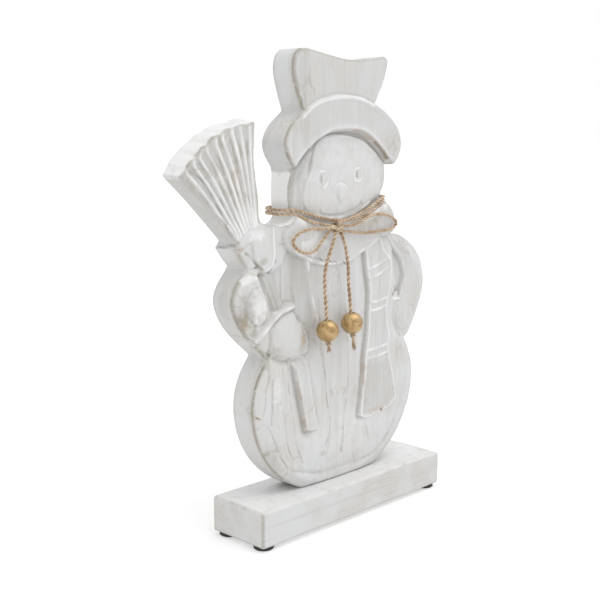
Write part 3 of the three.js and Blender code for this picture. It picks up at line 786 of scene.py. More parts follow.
BODY_SEAMS = [
    [(-60, 206), (-58, 160), (-66, 125), (-71.5, 97), (-68.5, 80), (-62, 69), (-59, 55), (-50.5, 43.5),
     (-45, 25)],
    [(-51.5, 206), (-50.5, 170), (-47.5, 154), (-55, 120), (-56, 100), (-52, 80), (-49, 62), (-42, 45),
     (-37, 25)],
    [(-37, 206), (-36, 165), (-30.5, 148), (-37, 126), (-38, 113), (-32, 100), (-27, 83), (-26, 71),
     (-29.5, 63), (-28, 25)],
    [(-28, 206), (-27, 160), (-25, 140), (-24.5, 122), (-19.5, 103), (-18, 87), (-15, 64.5), (-19.5, 52.5),
     (-21, 25)],
    [(-15, 206), (-15, 150), (-14, 120), (-15, 94), (-7, 83), (-5.5, 58.5), (-7.5, 36.5), (-8, 25)],
    [(0, 206), (1, 150), (3.5, 120), (4.5, 104.5), (3, 85), (0, 70.5), (-1, 56.5), (-2.5, 44.5), (-2, 25)],
    [(10, 206), (12, 150), (13, 125), (13, 109), (11, 81.5), (14, 63), (15.5, 47), (17, 25)],
    [(20, 206), (19.5, 146), (19.5, 132), (19, 110), (18, 90), (24, 62), (29, 45), (31, 25)],
    [(56, 206), (56, 128), (58, 100), (59, 80), (50, 60), (44, 45), (41, 25)],
    [(66, 206), (66, 128), (70, 108), (70, 90), (66, 72), (58, 55), (51, 42), (46, 25)]]
BODY_CRACKS = [
    [(-73.5, 112.5), (-77, 104), (-77.5, 93.5), (-79.5, 86)], [(-71, 109.5), (-71.5, 94.5), (-72, 77.5)],
    [(-64, 93.5), (-60.5, 83.5), (-58.5, 71.5), (-57, 61), (-51, 46.5)],
    [(-85.5, 76.5), (-78.5, 79.5), (-72.5, 73.5), (-69.5, 66.5), (-64.5, 55.5), (-57, 45)],
    [(-78.5, 59), (-67, 59), (-62.5, 55)], [(-59, 38), (-56, 42), (-62.5, 52)],
    [(-23.5, 130.5), (-21.5, 116.5), (-18.5, 102), (-18.5, 88), (-15.5, 73), (-15, 59), (-19, 41.5)]]
SCOOPS = [0.5, 0.7, 0.6, 0.9, 0.75, 0.8, 0.9, 0.7, 0.5, 0.7, 0.4]
TILTS = [0.2, -0.4, 0.5, -0.5, 0.35, -0.3, 0.45, -0.4, 0.3, -0.5, 0.2]


def body(c):
    """The round body: gouged strips that run down it, cracks along them and a bevel round its edge."""
    outline = np.vstack([
        ball(-90, 26), curve([(68, 122), (63, 150), (56, 180), (50, 198), (20, 206), (-44, 206)]),
        curve([(-60, 200), (-58, 176), (-60, 150), (-70, 126)]), ball(147, 270)])
    depth = depth_in(outline)
    top = 8.0 + 1.9 * smooth(depth / 8.5) + 1.0 * smooth((depth - 8) / 26)
    slope = 5.4 + 0.17 * (X + 60)
    left_of_panel = smooth((-31 - X - 0.19 * (Z - 150)) / 3) * smooth((Z - 124) / 8)
    top = np.where(Z > 124, np.minimum(top, top * (1 - left_of_panel) + slope * left_of_panel), top)
    index, across, _ = strips(BODY_SEAMS)
    scoop = -np.array(SCOOPS)[index] * 4.4 * across * (1 - across) + np.array(TILTS)[index] * (across - 0.5)
    top = top + scoop * smooth((depth - 5) / 6)
    top += 0.2 * noise(5, 40, 3) + 0.1 * noise(2.4, 26, 4) + 0.1 * noise(3, 5, 5)
    c.height = np.where(depth > -0.5, np.maximum(c.height, top), c.height)
    shoulder = np.array([(-72, 214.5), (-52, 215.5), (-53, 202), (-60, 187), (-70, 183)])
    c.lift(shoulder, 8.5 + 0.15 * noise(4, 10, 22), wall=0.7, edge=1.5)
    inside = smooth((depth - 3) / 4)
    c.mark("grey_stain_and_shade", ALL, inside * left_of_panel * (0.36 + 0.24 * noise(2.2, 22, 8)))
    for i, line in enumerate(BODY_SEAMS[:-2]):
        c.groove([p for p in line if 30 < p[1] < 200], 0.25, 0.7, 0.3 + 0.4 * (i % 2),
                 "wear_and_shade" if i % 2 else "shade_and_grime")
    for line in BODY_CRACKS:
        c.groove(line, 0.3, 0.5, 0.55, "wear_and_shade", 0.35)
    c.ridge([(-37.5, 190), (-37, 183.5), (-35.5, 172.5), (-32, 160), (-28, 146.5)], 0.35, 1.0, 0.7)
    c.groove([(69.5, 113), (73, 97.5), (70, 80), (64, 67.5), (52, 47), (36, 36.5)], 0.35, 0.8, 0.4)
    low = curve([(-56, 44), (-50.5, 40.5), (-34, 35.5), (-19, 32.5), (-9, 33), (14, 32.5), (34.5, 35),
                 (48, 42.5), (58, 54)])
    c.groove(low, 0.5, 1.8, 0.22)
    c.paint("wear_and_shade", low, 0.6, 0.4, 0.3)
    c.paint("wear_and_shade", ball(150, 228), 0.5, 0.9, 0.75)
    c.paint("dark", ball(152, 176), 0.45, 0.3, 0.5)
    c.stain("brown_stain_and_shade", -83.4, 85, 3.4, 1.2, 0.6, 51, -0.5)
    c.stain("dark", -84.6, 85.6, 1.3, 0.6, 0.5, 52, -0.5)
    c.stain("wear_and_shade", -75.6, 58.2, 4.4, 2.0, 0.6, 53)
    c.stain("grey_stain_and_shade", -69, 53, 5.5, 14, 0.32, 54, 0.5)
    # a broad painted highlight on the lower middle of the body
    c.mark("wash_and_highlight", ALL, 0.26 * np.exp(-(((X - 2) / 36) ** 2) - ((Z - 56) / 28) ** 2))
    c.stain("wash_and_highlight", -66, 105, 5, 12, 0.4, 61)
    c.stain("wear_and_shade", -21.6, 47, 2.6, 1.4, 0.5, 55)


def crown(c):
    outline = np.vstack([curve([(30, 290), *CROWN_RIGHT]), curve(CROWN_TOP),
                         curve([*CROWN_LEFT[:-1], (-40.5, 284)])])
    top = 9.9 + 0.3 * noise(18, 60, 7) + 0.12 * noise(2.4, 34, 8) - 1.2 * smooth((-34 - X) / 14)
    c.lift(outline, top, wall=3, edge=1.6)
    c.mark("shade_and_grime", ALL, 0.24 * smooth((depth_in(outline) - 2) / 2))
    for x in (-31, -17, -9, 3, 12, 21, 30):
        c.groove([(x * 0.84, 299), (x, 312), (x * 1.1, 324)], 0.14, 0.7, 0.16)
    c.paint("wear_and_shade", CROWN_LEFT, 0.5, 0.9, 0.8)
    c.paint("wear_and_shade", CROWN_TOP, 0.7, 0.4, 0.2)
    c.stain("brown_stain_and_shade", -40, 328, 4, 2, 0.18, 56)


BRIM_LOWER = [(-47.5, 255.5), (-40.5, 262), (-32, 268), (-26.5, 271), (-19, 274), (-12, 276), (2.5, 277),
              (10.5, 276.5), (17.5, 275.5), (24, 273), (31.5, 268), (39, 262), (45.5, 256)]


def brim(c):
    upper = curve([(17.5, 298.5), (7, 300), (-8.5, 300.5), (-20, 298.5), (-29.5, 296), (-41, 290)])
    outline = np.vstack([curve([*BRIM_RIGHT[:-1], (29, 295)]), upper, curve(BRIM_LEFT), curve(BRIM_LOWER)])
    deep = depth_in(outline)
    top = 12.2 + 0.2 * noise(14, 12, 9) + 0.1 * noise(1.8, 14, 10) - 0.45 * smooth((deep - 1.4) / 2.4)
    c.lift(outline, top, wall=3, edge=1.1, wash_and_highlight=0.3)
    c.mark("shade_and_grime", ALL, 0.32 * smooth((deep - 2) / 2))
    # a painted highlight along the brim's upper part
    c.paint("wash_and_highlight", [(-43, 285), (-35, 291), (-26, 295), (-12, 298), (2.5, 299), (17, 297.5), (28, 293.5)],
            1.1, 0.9, 0.7)
    c.groove([(-49.5, 280), (-42, 286), (-33, 291), (-21.5, 294), (-4, 296), (12, 295), (26, 290.5),
              (40, 283)], 0.22, 0.7, 0.32)
    c.ridge([(-52.5, 251.5), (-43, 256), (-32.5, 264.5), (-26.5, 270)], 0.4, 1.3, 0.4)
    for i, x in enumerate((-46, -38, -29, -17, -6, 3, 9, 14, 21, 29, 36, 44)):
        bottom = 279 - 0.0105 * x * x - 0.05 * x
        line = curve([(x, bottom), (x + 0.5, bottom + 6), (x - 0.2, bottom + 12 - 0.1 * abs(x))])
        c.groove(line, 0.14, 0.6, 0.2) if i % 3 else c.ridge(line, 0.12, 0.6, 0.5)
    c.paint("wear_and_shade", BRIM_LEFT, 0.5, 0.8, 0.6)
    # painted shadow under the brim's lower right edge, in brown and dark paint
    c.paint("brown_stain_and_shade", [(8, 276.5), (19, 274.5), (28, 270), (38.5, 262.5), (45.5, 255.5)], 0.7, 0.55,
            0.5)
    c.paint("dark", [(31, 268), (38.5, 262), (45.5, 255.5)], 0.5, 0.55, 0.6)


EYES = [(-21.2, 242.9, 5.0, 5.6), (15.0, 245.0, 4.7, 4.7)]


def face(c):
    outline = curve([(-38.5, 230), (-34.5, 221.5), (-27, 217), (-16, 215), (-1.5, 214), (10.5, 215.5),
                     (23, 219.5), (34, 225.5), (41.5, 230.5), (46, 238.5), (46.5, 250), (39.5, 258),
                     (30.5, 264.5), (20, 270), (0, 273.5), (-18.5, 272), (-27.5, 264), (-31, 250),
                     (-36.5, 239.5)], True)
    deep = np.maximum(depth_in(outline), 0)
    swell = np.sqrt(np.clip(1 - (1 - deep / 27) ** 2, 0, 1))
    top = 6.6 + 2.7 * swell + 0.12 * noise(7, 16, 12) + 0.08 * noise(3, 9, 13)
    c.lift(outline, top, wall=2.4, edge=0.8, wash_and_highlight=0.3)
    c.paint("wash_and_highlight", [(-18, 269.5), (-3.5, 272), (11, 271), (22.5, 266.5), (33, 260), (41, 253)], 1.2, 0.6,
            0.6)
    c.mark("wash_and_highlight", ALL, 0.16 * smooth(deep / 6))
    c.ridge([(-27, 218.5), (-22, 216.5), (-15.5, 215.5), (-3, 215), (7, 216), (17, 219), (29, 224.5)], 0.6,
            1.0, 1.6)
    c.groove([(-22.5, 220), (-17.5, 218), (-3, 217.5), (12, 220.5), (19.5, 224)], 0.45, 0.7, 0.6)
    c.groove([(-24, 223), (-22.5, 219.5)], 0.4, 0.6, 0.7)
    c.groove([(18, 226.5), (20.5, 223.5)], 0.4, 0.6, 0.7)
    for x, z, rx, rz in EYES:
        c.groove(arc(x, z, rx * 0.62, rz * 0.62, 0, 360), 0.3, 0.9, 0.3)
        c.ridge(arc(x, z, rx, rz, 80, 330), 0.35, 0.75, 1.0)
        c.ridge(arc(x, z, rx, rz, -30, 80), 0.2, 0.6, 0.4)
        c.groove(arc(x, z, rx * 1.26, rz * 1.2, -40, 100), 0.2, 0.7, 0.5)
        c.groove([(x - 1, z + 2.2), (x - 1.4, z), (x - 0.6, z - 1.8)], 0.4, 0.7, 0.9)
        c.paint("dark", [(x - 1, z + 1.8), (x - 1.3, z - 1.2)], 0.8, 0.42, 0.8)
    c.stain("dark", -21.4, 238.6, 0.8, 0.5, 0.4, 57)
    nose = curve([(-3.5, 239.5), (-7, 238.5), (-9.5, 235), (-9, 231), (-6.5, 227), (-3, 224), (-0.5, 226.5),
                  (1.5, 229.5), (3, 235.5), (0.5, 238.5)], True)
    c.swell(nose, 0.9, 3.0, 0.3)
    c.paint("wash_and_highlight", nose, 0.65, 0.75, 0.5)
    c.paint("shade_and_grime", [(-7.5, 235.5), (-7.5, 231.5), (-5, 228)], 0.7, 0.45)
    c.paint("wear_and_shade", [(-5, 230), (-3, 227), (-1.5, 229)], 0.9, 0.35)


def neck(c):
    """The rough ground to the left of the face."""
    left = np.array([(-51.5, 216), (-52, 250), (-42, 260), (-32, 266), (-26, 216)])
    deep = smooth(depth_in(left) / 3)
    up_to_the_brim = smooth((Z - 0.8 * (X + 52) - 234) / 16)
    c.height += deep * (1.2 + 5.2 * up_to_the_brim + 0.3 * noise(5, 9, 15) + 0.18 * noise(2, 4, 16))
    c.mark("shade_and_grime", ALL, deep * np.clip(0.16 + 0.5 * noise(3, 6, 18), 0, 1))
    c.mark("grey_stain_and_shade", ALL, deep * np.clip(0.2 + 0.35 * noise(1.6, 14, 19), 0, 1))
    c.groove([(-46.5, 247), (-49, 234.5), (-48.5, 224)], 0.25, 1.2, 0.3)
    c.paint("wear_and_shade", [(-50.5, 247), (-51, 234), (-50.5, 222)], 0.5, 0.35, 0.4)


def collar(c):
    upper = curve([(43, 223), (34, 220), (20, 215), (5, 210.5), (-8, 208), (-20, 209), (-35, 214),
                   (-50, 219.5)])
    lower = curve([(-56.5, 213.5), (-60, 207), (-58.5, 200.5), (-52.5, 196), (-45, 191.5), (-36, 187),
                   (-26.5, 184), (-17.5, 182.5), (-7, 182.5), (4, 183), (14, 186.5), (19, 189), (29, 192.5),
                   (36.5, 198.5), (46, 199.5)])
    outline = np.vstack([curve([(52, 201.5), *COLLAR_RIGHT]), upper, lower])
    top = 11.2 + 0.25 * noise(12, 8, 17) + 0.12 * noise(3, 12, 18)
    c.lift(outline, top, wall=2.6, edge=1.4)
    c.ridge([(-56.5, 200.5), (-52, 197), (-44.5, 193), (-35.5, 188.5), (-26.5, 185.5), (-17, 184),
             (-7, 184)], 0.9, 1.0, 1.5)
    c.paint("wash_and_highlight", [(-7, 184), (4, 184.5), (13.5, 187.5), (18.5, 190.5), (29, 194), (36.5, 200)], 1.2, 0.65)
    for i in range(11):
        x = -50 + 4.9 * i
        z = 198.6 - 0.0036 * (x + 56) * (60 - (x + 56) * 0.42) * 2.1
        c.groove([(x - 1.4, z + 1.0), (x + 1.4, z - 0.7)], 0.4, 0.5, 0.8, "dark" if i % 3 else "shade_and_grime")
    c.groove([(-64, 201.5), (-60.5, 201), (-57.5, 202.5)], 0.3, 0.5, 0.7)
    c.groove([(-60.5, 204.5), (-57.5, 205), (-55.5, 204)], 0.25, 0.5, 0.5)
    c.stain("brown_stain_and_shade", 24, 210, 12, 3, 0.2, 73, 0.3)
    # painted light under the neck twine and the bow's left loop, against their shade
    c.paint("wash_and_highlight", [(-46, 217), (-34, 212.5), (-20, 208.5), (-8, 207), (5, 209.5), (20, 214), (34, 219),
                    (43, 222)], 3.2, 0.9)
    c.stain("wash_and_highlight", -33, 199, 14, 9, 0.7, 74)


SCARF_LEFT = [(22, 189), (23.5, 177), (25.5, 168), (27, 158), (26.5, 148), (26, 137.5), (25.5, 129),
              (24, 119), (22.5, 108.5), (22, 98), (20.5, 87.5), (17.5, 68)]
SCARF_RIGHT = [(55, 92.5), (51.5, 104), (49, 115), (50, 124), (46.5, 141), (48, 152), (50.5, 163),
               (51.5, 173.5), (50, 182), (42.5, 190), (38, 199), (24, 197)]
SCARF_BANDS = [((24, 176), (50, 183)), ((25, 168.5), (50.5, 176)), ((28, 151), (47, 153)),
               ((27.5, 145), (47, 147)), ((25, 115.5), (49, 117.5)), ((24, 109.5), (49.5, 111.5))]


def scarf_tail(c):
    left = curve(SCARF_LEFT)
    c.lower(left, 7.2, 0.5, 8.0)
    # painted shade on the low ground beside the scarf's left wall
    for shift, strength in ((-1.4, 0.5), (-3.2, 0.35), (-5.4, 0.3)):
        c.paint("shade_and_grime", left + (shift, 0), 0.8, strength)
    fringe_end = [(16, 68.5), (22, 65), (29.5, 64.5), (35, 66.5), (41.5, 66), (51.5, 68.5), (59, 74)]
    outline = np.vstack([left, np.array(fringe_end), curve(SCARF_RIGHT)])
    deep = depth_in(outline)
    top = 11.4 - 0.75 * smooth((deep - 1.2) / 3.0) + 0.15 * noise(4, 30, 19)
    c.lift(outline, top, wall=2.8, edge=0.9, wash_and_highlight=0.75)
    for (x0, z0), (x1, z1) in SCARF_BANDS:
        c.ridge([(x0 + 1.5, z0), ((x0 + x1) / 2, (z0 + z1) / 2 - 0.7), (x1 - 1.5, z1)], 0.8, 0.85, 1.0)
    for i, x in enumerate((28.6, 31, 35.5, 38, 41, 45)):
        c.groove([(x, 172), (x + 0.8, 162), (x - 0.6, 154.6)], 0.15, 0.6, 0.22)
        c.groove([(x - 1, 143), (x - 1.4, 130), (x - 1.6, 118.6)], 0.15, 0.6, 0.22)
        c.groove([(x - 3, 107), (x - 4 + i * 0.6, 92), (x - 6 + i * 1.4, 69)], 0.3, 0.7, 0.35)
    patchy = 1 + 0.4 * noise(1.4, 30, 21)
    c.mark("grey_stain_and_shade", ALL, 0.2 * smooth((108 - Z) / 6) * smooth(deep - 1) * patchy)
    c.mark("shade_and_grime", ALL, smooth(deep - 3) * np.clip(0.1 + 0.2 * noise(3, 12, 20), 0, 1))
    c.stain("dark", 41, 67.6, 1.5, 1.1, 0.7, 64)
    c.stain("brown_stain_and_shade", 36, 69, 9, 2.0, 0.35, 65)
    c.stain("brown_stain_and_shade", 21.6, 96, 0.9, 20, 0.3, 66)


ARM_INNER = [(48, 199), (53, 193), (58, 188), (64.5, 181), (68.5, 174), (70, 166), (67, 158), (64, 150.5),
             (59.5, 143.5), (57.5, 136.5), (60.5, 128.5), (66.5, 121)]


def right_arm(c):
    outline = np.vstack([curve(RIGHT_ARM), curve(SHOULDER), curve(ARM_INNER)])
    c.lower(ARM_INNER, 7.2, 0.5, 5.0)
    top = 7.9 + 2.2 * smooth(depth_in(outline) / 10) + 0.2 * noise(7, 18, 23) + 0.1 * noise(3, 10, 24)
    c.lift(outline, top, wall=2.4, edge=1.2, wash_and_highlight=0.2)
    c.groove([(55, 195.5), (60, 190.5), (67.5, 184.5), (71, 176), (71.5, 167)], 0.25, 0.8, 0.4)
    c.groove([(61, 193), (67.5, 188), (74, 181.5), (78.5, 170)], 0.25, 0.9, 0.3)
    c.paint("wear_and_shade", [(60, 190), (67.5, 186.5), (72, 184)], 1.6, 0.35)
    c.groove([(62.5, 144), (59.5, 137), (61.5, 129), (68, 124.5), (73, 126.5)], 0.4, 0.9, 0.5)
    c.groove([(54.5, 154), (58, 156.5), (63, 157)], 0.6, 0.9, 0.75, "dark")
    c.stain("grey_stain_and_shade", 60, 158.6, 4.2, 3.2, 0.75, 81)
    c.ridge([(54.5, 151), (64, 150)], 0.6, 1.1, 0.9)
    c.stain("shade_and_grime", 82, 150, 8, 14, 0.22, 83)


def left_arm(c):
    inner = curve([(-70, 134), (-66, 143), (-60, 150), (-58.5, 157), (-62, 166), (-67, 174), (-73, 182.5),
                   (-82, 187)])
    outline = np.vstack([curve([(-91.5, 187), *LEFT_ARM[:-1], (-76, 127)]), inner])
    top = 7.8 + 1.5 * smooth(depth_in(outline) / 6) + 0.25 * noise(8, 12, 27) + 0.2 * noise(3, 5, 28)
    c.lift(outline, top, wall=2.8, edge=1.1)
    oval = curve([(-86.5, 173), (-80, 171.5), (-76, 165), (-75, 156), (-79, 149.5), (-85.5, 148.5),
                  (-88.5, 152), (-91.5, 157), (-92, 164.5), (-90, 169.5)], True)
    c.swell(oval, 1.6, 2.6, 0.6)
    c.stain("wash_and_highlight", -82, 160, 7, 11, 0.6, 58)
    c.stain("wash_and_highlight", -92, 180, 6, 3.4, 0.8, 57)
    c.paint("shade_and_grime", [(-83, 174.5), (-90, 170.5), (-93, 164.5), (-92.5, 156), (-88, 150.5), (-84, 147)],
            0.9, 1.0)
    # a raised band with a painted highlight along it
    c.ridge([(-97, 182.5), (-91, 182), (-83.5, 179.5), (-77, 173.5), (-70.5, 161), (-67.5, 155.5)], 1.3,
            2.4, 1.0)
    c.groove([(-90.5, 177.5), (-84, 176.5), (-78.5, 170.5), (-74, 162), (-72.5, 154)], 0.35, 0.8, 0.35)
    cracks = [[(-101, 171), (-97.5, 168.5), (-94.5, 163)], [(-102.5, 163.5), (-98.5, 162.5), (-93.5, 160)],
              [(-101.5, 155), (-97, 152.5), (-93, 150), (-88, 147.5)],
              [(-98.5, 150), (-94.5, 146), (-92, 143.5)],
              [(-96, 170.5), (-94, 166.5), (-95.5, 160), (-95, 154)],
              [(-90, 146.5), (-87, 144), (-85.5, 141)]]
    for line in cracks:
        c.groove(line, 0.35, 0.5, 1.0, "wear_and_shade")
    c.stain("grey_stain_and_shade", -96.5, 163, 5, 9, 0.5, 84)
    c.stain("wear_and_shade", -97.4, 153, 5.6, 7, 1.0, 85)
    c.stain("grey_stain_and_shade", -97, 153, 7, 8, 0.4, 89)
    c.stain("wear_and_shade", -87, 146, 5, 2.4, 0.5, 87, 0.6)
    c.stain("brown_stain_and_shade", -95, 150.4, 3, 3, 0.35, 88)
    c.stain("dark", -93.6, 150, 0.9, 0.7, 0.7, 86)
    c.paint("wear_and_shade", LEFT_ARM, 0.5, 0.9, 0.7)
    c.paint("dark", LEFT_ARM[1:4], 0.45, 0.35, 0.3)


def stick(c):
    """The broom's stick: a grey strip above the mitten and a flat bar below it."""
    upper = np.array([(-79.5, 181.5), (-68, 156), (-60.5, 158.5), (-68.5, 181.5)])
    c.lower([(-80, 182), (-68.5, 156.5)], 5.4, 0.9, 4.0)
    c.lift(upper, 8.4 + 0.2 * noise(1.6, 20, 31, 0.4), wall=3, edge=0.6, blend=0.4)
    window, d = distance(upper, True, 1.0)
    c.mark("grey_stain_and_shade", window, smooth(d + 0.4) * (0.42 + 0.2 * noise(1.4, 16, 33, 0.42)[window]))
    for shift in (-2.6, -0.6, 2.2):
        c.groove([(-73.6 + shift, 181), (-64.6 + shift, 158)], 0.2, 0.5, 0.5)
    c.groove([(-79, 181), (-68, 157)], 0.3, 0.6, 0.8, "wear_and_shade")
    c.lower(np.array([(-51.5, 121), (-45.5, 95), (-38.5, 67)]), 6.4, 0.5, 9.0)
    c.lower(np.array([(-39, 120), (-29, 72), (-30, 66)]), 9.4, 0.3, 5.0)
    lower = np.array([(-51.5, 122), (-38.5, 67.5), (-34, 66.5), (-29, 67), (-28.5, 70), (-39, 121)])
    c.lift(lower, 11.3 + 0.15 * noise(2.5, 40, 32, -0.25), wall=3, edge=0.9, blend=0.4, wash_and_highlight=0.35)
    c.paint("brown_stain_and_shade", [(-47.5, 104), (-43, 86), (-39.5, 70)], 0.6, 0.5)
    c.paint("dark", [(-38.5, 67.5), (-34, 66), (-31, 66.5)], 0.6, 0.4)


def mitten(c):
    outline = curve([(-72, 137.5), (-72.5, 131), (-68, 126), (-60, 123.5), (-52, 122), (-42, 123.5),
                     (-36, 128.5), (-36.5, 134), (-41, 141), (-46.5, 147.5), (-50.5, 154), (-57, 155.5),
                     (-64, 152.5), (-70.5, 146)], True)
    deep = np.maximum(depth_in(outline), 0)
    c.lower([(-47, 151), (-38.5, 141), (-33.5, 131), (-36, 122.5), (-48, 119.5), (-62, 121), (-72, 126)],
            6.6, 0.7, 6.0)
    top = 8.6 + 3.4 * np.sqrt(np.clip(1 - (1 - deep / 17) ** 2, 0, 1))
    c.lift(outline, top + 0.12 * noise(8, 8, 33), wall=2.8, edge=1.0, blend=0.5)
    # painted shade in the hollow at the mitten's right, with a painted highlight on the rim beyond it
    c.groove([(-45.5, 149), (-41.5, 142.5), (-38.5, 135), (-38, 129), (-42.5, 125.5)], 1.0, 1.5, 0.8)
    c.ridge([(-46, 149.5), (-40, 142), (-36, 134), (-35, 128), (-37.5, 124)], 0.8, 1.0, 1.0)
    c.stain("brown_stain_and_shade", -41.6, 134, 2.8, 7.4, 0.55, 90, -0.3)
    c.stain("grey_stain_and_shade", -44, 133, 4, 8, 0.25, 89, -0.3)
    c.paint("wear_and_shade", [(-70.5, 149), (-72.5, 143), (-72.5, 134), (-69, 128.5)], 0.8, 0.5)
    cuff = np.vstack([curve([(-91, 139), (-84, 143), (-76, 149.5), (-68, 155), (-59, 159), (-51, 160)]),
                      curve([(-50.5, 156.5), (-56, 155.5), (-63, 153.5), (-70, 149), (-77, 143),
                             (-83.5, 136.5), (-88, 133.5)])])
    c.lift(cuff, 12.1 + 0.2 * noise(6, 6, 34), wall=3, edge=1.6, blend=0.6)
    c.paint("wash_and_highlight", [(-88, 138.5), (-80, 143.5), (-71, 150.5), (-62, 155.5), (-52, 158)], 1.6, 0.8)
    c.groove([(-86, 136), (-77.5, 142.5), (-69, 149.5), (-60, 153.5)], 0.3, 0.8, 0.35)
    c.paint("wear_and_shade", [(-70.5, 146), (-63, 151.5), (-54, 154.5)], 0.7, 0.6)
    c.paint("brown_stain_and_shade", [(-82, 130.5), (-74, 128.5), (-68, 124)], 0.8, 0.5)
    c.stain("dark", -84, 128.6, 1.8, 0.7, 0.5, 91)


def button(c):
    outline = curve([(-10.5, 179), (-14.5, 175), (-16, 168.5), (-15, 163), (-11.5, 160.5), (-7.5, 162),
                     (-5.5, 167), (-5.5, 173.5), (-7.5, 177.5)], True)
    c.swell(outline, 0.9, 3.2, 0.45)
    # a painted highlight on the ring, and painted shadow inside its right side
    c.paint("wash_and_highlight", outline, 0.7, 0.6)
    c.paint("shade_and_grime", outline + (0.9, -0.4), 0.6, 0.45)
    c.groove([(-7, 175.5), (-6.5, 168), (-8, 162.5)], 0.3, 0.9, 0.6, "wear_and_shade")
    c.stain("brown_stain_and_shade", -7.4, 172, 0.9, 5, 0.35, 92)


def ribbon(c):
    """The bow tied round the broom's bristles."""
    left = np.array([(-102, 201), (-99.5, 205.5), (-92, 210.5), (-84, 213.5), (-78, 216), (-75, 208),
                     (-77, 197), (-84, 188), (-91.5, 186.5), (-97, 193)])
    c.lift(curve(left, True), 8.4 + 0.3 * noise(6, 8, 36), wall=2.6, edge=1.6)
    flap = curve([(-88, 203), (-85, 208.5), (-81.5, 213), (-74, 215), (-68.5, 214), (-67.5, 204),
                  (-67, 194), (-69.5, 187), (-76, 183.5), (-81, 186), (-85.5, 193)], True)
    c.lift(flap, 10.0 + 0.25 * noise(7, 12, 37), wall=2.6, edge=1.6)
    c.paint("wash_and_highlight", [(-69.5, 213), (-69, 203), (-68.5, 194), (-70.5, 187.5), (-76.5, 184.5)], 0.8, 0.95, 0.8)
    c.stain("wash_and_highlight", -85.6, 208, 5, 4, 0.6, 59)
    c.groove([(-101.5, 201), (-99.5, 198.5), (-94, 201), (-88, 204), (-84, 206.5)], 0.45, 0.7, 0.5)
    c.groove([(-98.5, 197), (-96, 192.5), (-94.5, 188)], 0.4, 0.6, 0.7, "wear_and_shade")
    # painted shade in the fold and a painted shadow along the ribbon's bottom edge
    c.groove([(-93, 197.5), (-88.5, 194.5), (-84.5, 190), (-79.5, 185.5)], 0.6, 0.7, 1.0, "wear_and_shade")
    c.groove([(-96.5, 187), (-89.5, 184), (-82, 181), (-76.5, 182)], 0.6, 0.9, 0.9, "wear_and_shade")
    c.groove([(-79.5, 210), (-77.5, 213), (-73, 213.5)], 0.3, 0.8, 0.5, "wear_and_shade")
    c.stain("wear_and_shade", -80, 190.4, 4.6, 3, 0.5, 93)
    c.stain("brown_stain_and_shade", -97, 200.6, 3, 1.6, 0.45, 94)
    c.stain("dark", -99.4, 200.4, 1.8, 0.6, 0.5, 97)
    c.stain("grey_stain_and_shade", -93, 192, 4, 4, 0.22, 95)
    c.stain("dark", -66.6, 190, 0.7, 1.8, 0.5, 96)


CRESTS = [[(-139.5, 250.5), (-126, 237.5), (-101, 209)], [(-133.5, 255), (-120.5, 240), (-98.5, 209.5)],
          [(-128.5, 259), (-115, 241), (-96, 210)], [(-123, 263.5), (-110.5, 244.5), (-93, 211)],
          [(-115.5, 267.5), (-104, 244.5), (-90.5, 211.5)], [(-110, 271), (-99.5, 247), (-88, 212)],
          [(-102, 275), (-94, 249.5), (-86, 213)], [(-95, 277), (-90, 252.5), (-84, 214)],
          [(-87, 278), (-86, 255), (-82, 216)]]


def broom(c):
    """Bundles of bristles with narrow crests between wide shallow valleys."""
    outline = np.vstack([curve([(-75.5, 212), *BROOM_RIGHT]), curve(BROOM_TOP), curve(BROOM_LEFT),
                         np.array([(-92, 198)])])
    index, across, width = strips([curve(line) for line in CRESTS])
    near = np.minimum(across, 1 - across) * width * 0.75 * (1 + 0.25 * noise(6, 10, 41))
    bundled = (index > 0) | (across > 0.5)
    crest = np.where(bundled, np.exp(-((near / 1.15) ** 2)), 0)
    uneven = np.array([0.0, -0.1, 0.25, -0.15, 0.2, -0.2, 0.3, -0.1, 0.15, 0.0])[index]
    top = 5.5 + 1.5 * crest + uneven * (across - 0.5) + 0.12 * noise(3, 9, 43)
    c.lift(outline, top + 0.35 * smooth((222 - Z) / 12), wall=4, edge=0.7)
    deep = smooth(depth_in(outline) / 1.5)
    tone = noise(4, 12, 44)
    # whiter crests with painted highlight, greyer valleys with grime and painted shade
    c.mark("wash_and_highlight", ALL, deep * crest**1.6 * (0.72 + 0.28 * tone))
    valley = deep * np.where(bundled, 1 - crest, 0.45) * smooth((Z - 210) / 8)
    c.mark("shade_and_grime", ALL, valley * np.clip(0.68 + 0.35 * noise(1.6, 14, 45, -0.7) + 0.2 * tone, 0, 1))
    beside = deep * np.exp(-(((near - 1.7) / 0.6) ** 2)) * (across > 0.5) * (index > 0)
    c.mark("wear_and_shade", ALL, beside * smooth(tone * 1.6 + 0.3) * 0.7)
    c.paint("wear_and_shade", BROOM_TOP, 0.7, 0.5, 0.2)
    c.paint("wear_and_shade", [(-138.5, 246), (-128, 236.5), (-112, 220.5), (-103, 211)], 0.6, 0.45)
    c.paint("dark", [(-148.5, 249.5), (-145.5, 251.5), (-141, 253.5), (-138, 255)], 0.6, 1.1, 0.6)
    c.paint("dark", [(-137, 252), (-125.5, 244), (-113.5, 227), (-108, 217)], 0.45, 0.4, 0.7)
    for x, z in ((-131, 253), (-123.5, 247)):
        c.stain("dark", x, z, 0.9, 0.5, 0.3, 75, 0.7)
    for x, z, long in ((-107.8, 240.3, 9), (-99.3, 246.2, 7), (-116.2, 252.6, 6), (-121.5, 249, 4)):
        c.stain("brown_stain_and_shade", x, z, 1.7, long, 0.24, 76, 0.45)
    c.paint("dark", [(-109, 217.5), (-105, 211.5), (-103, 209)], 0.5, 0.45)


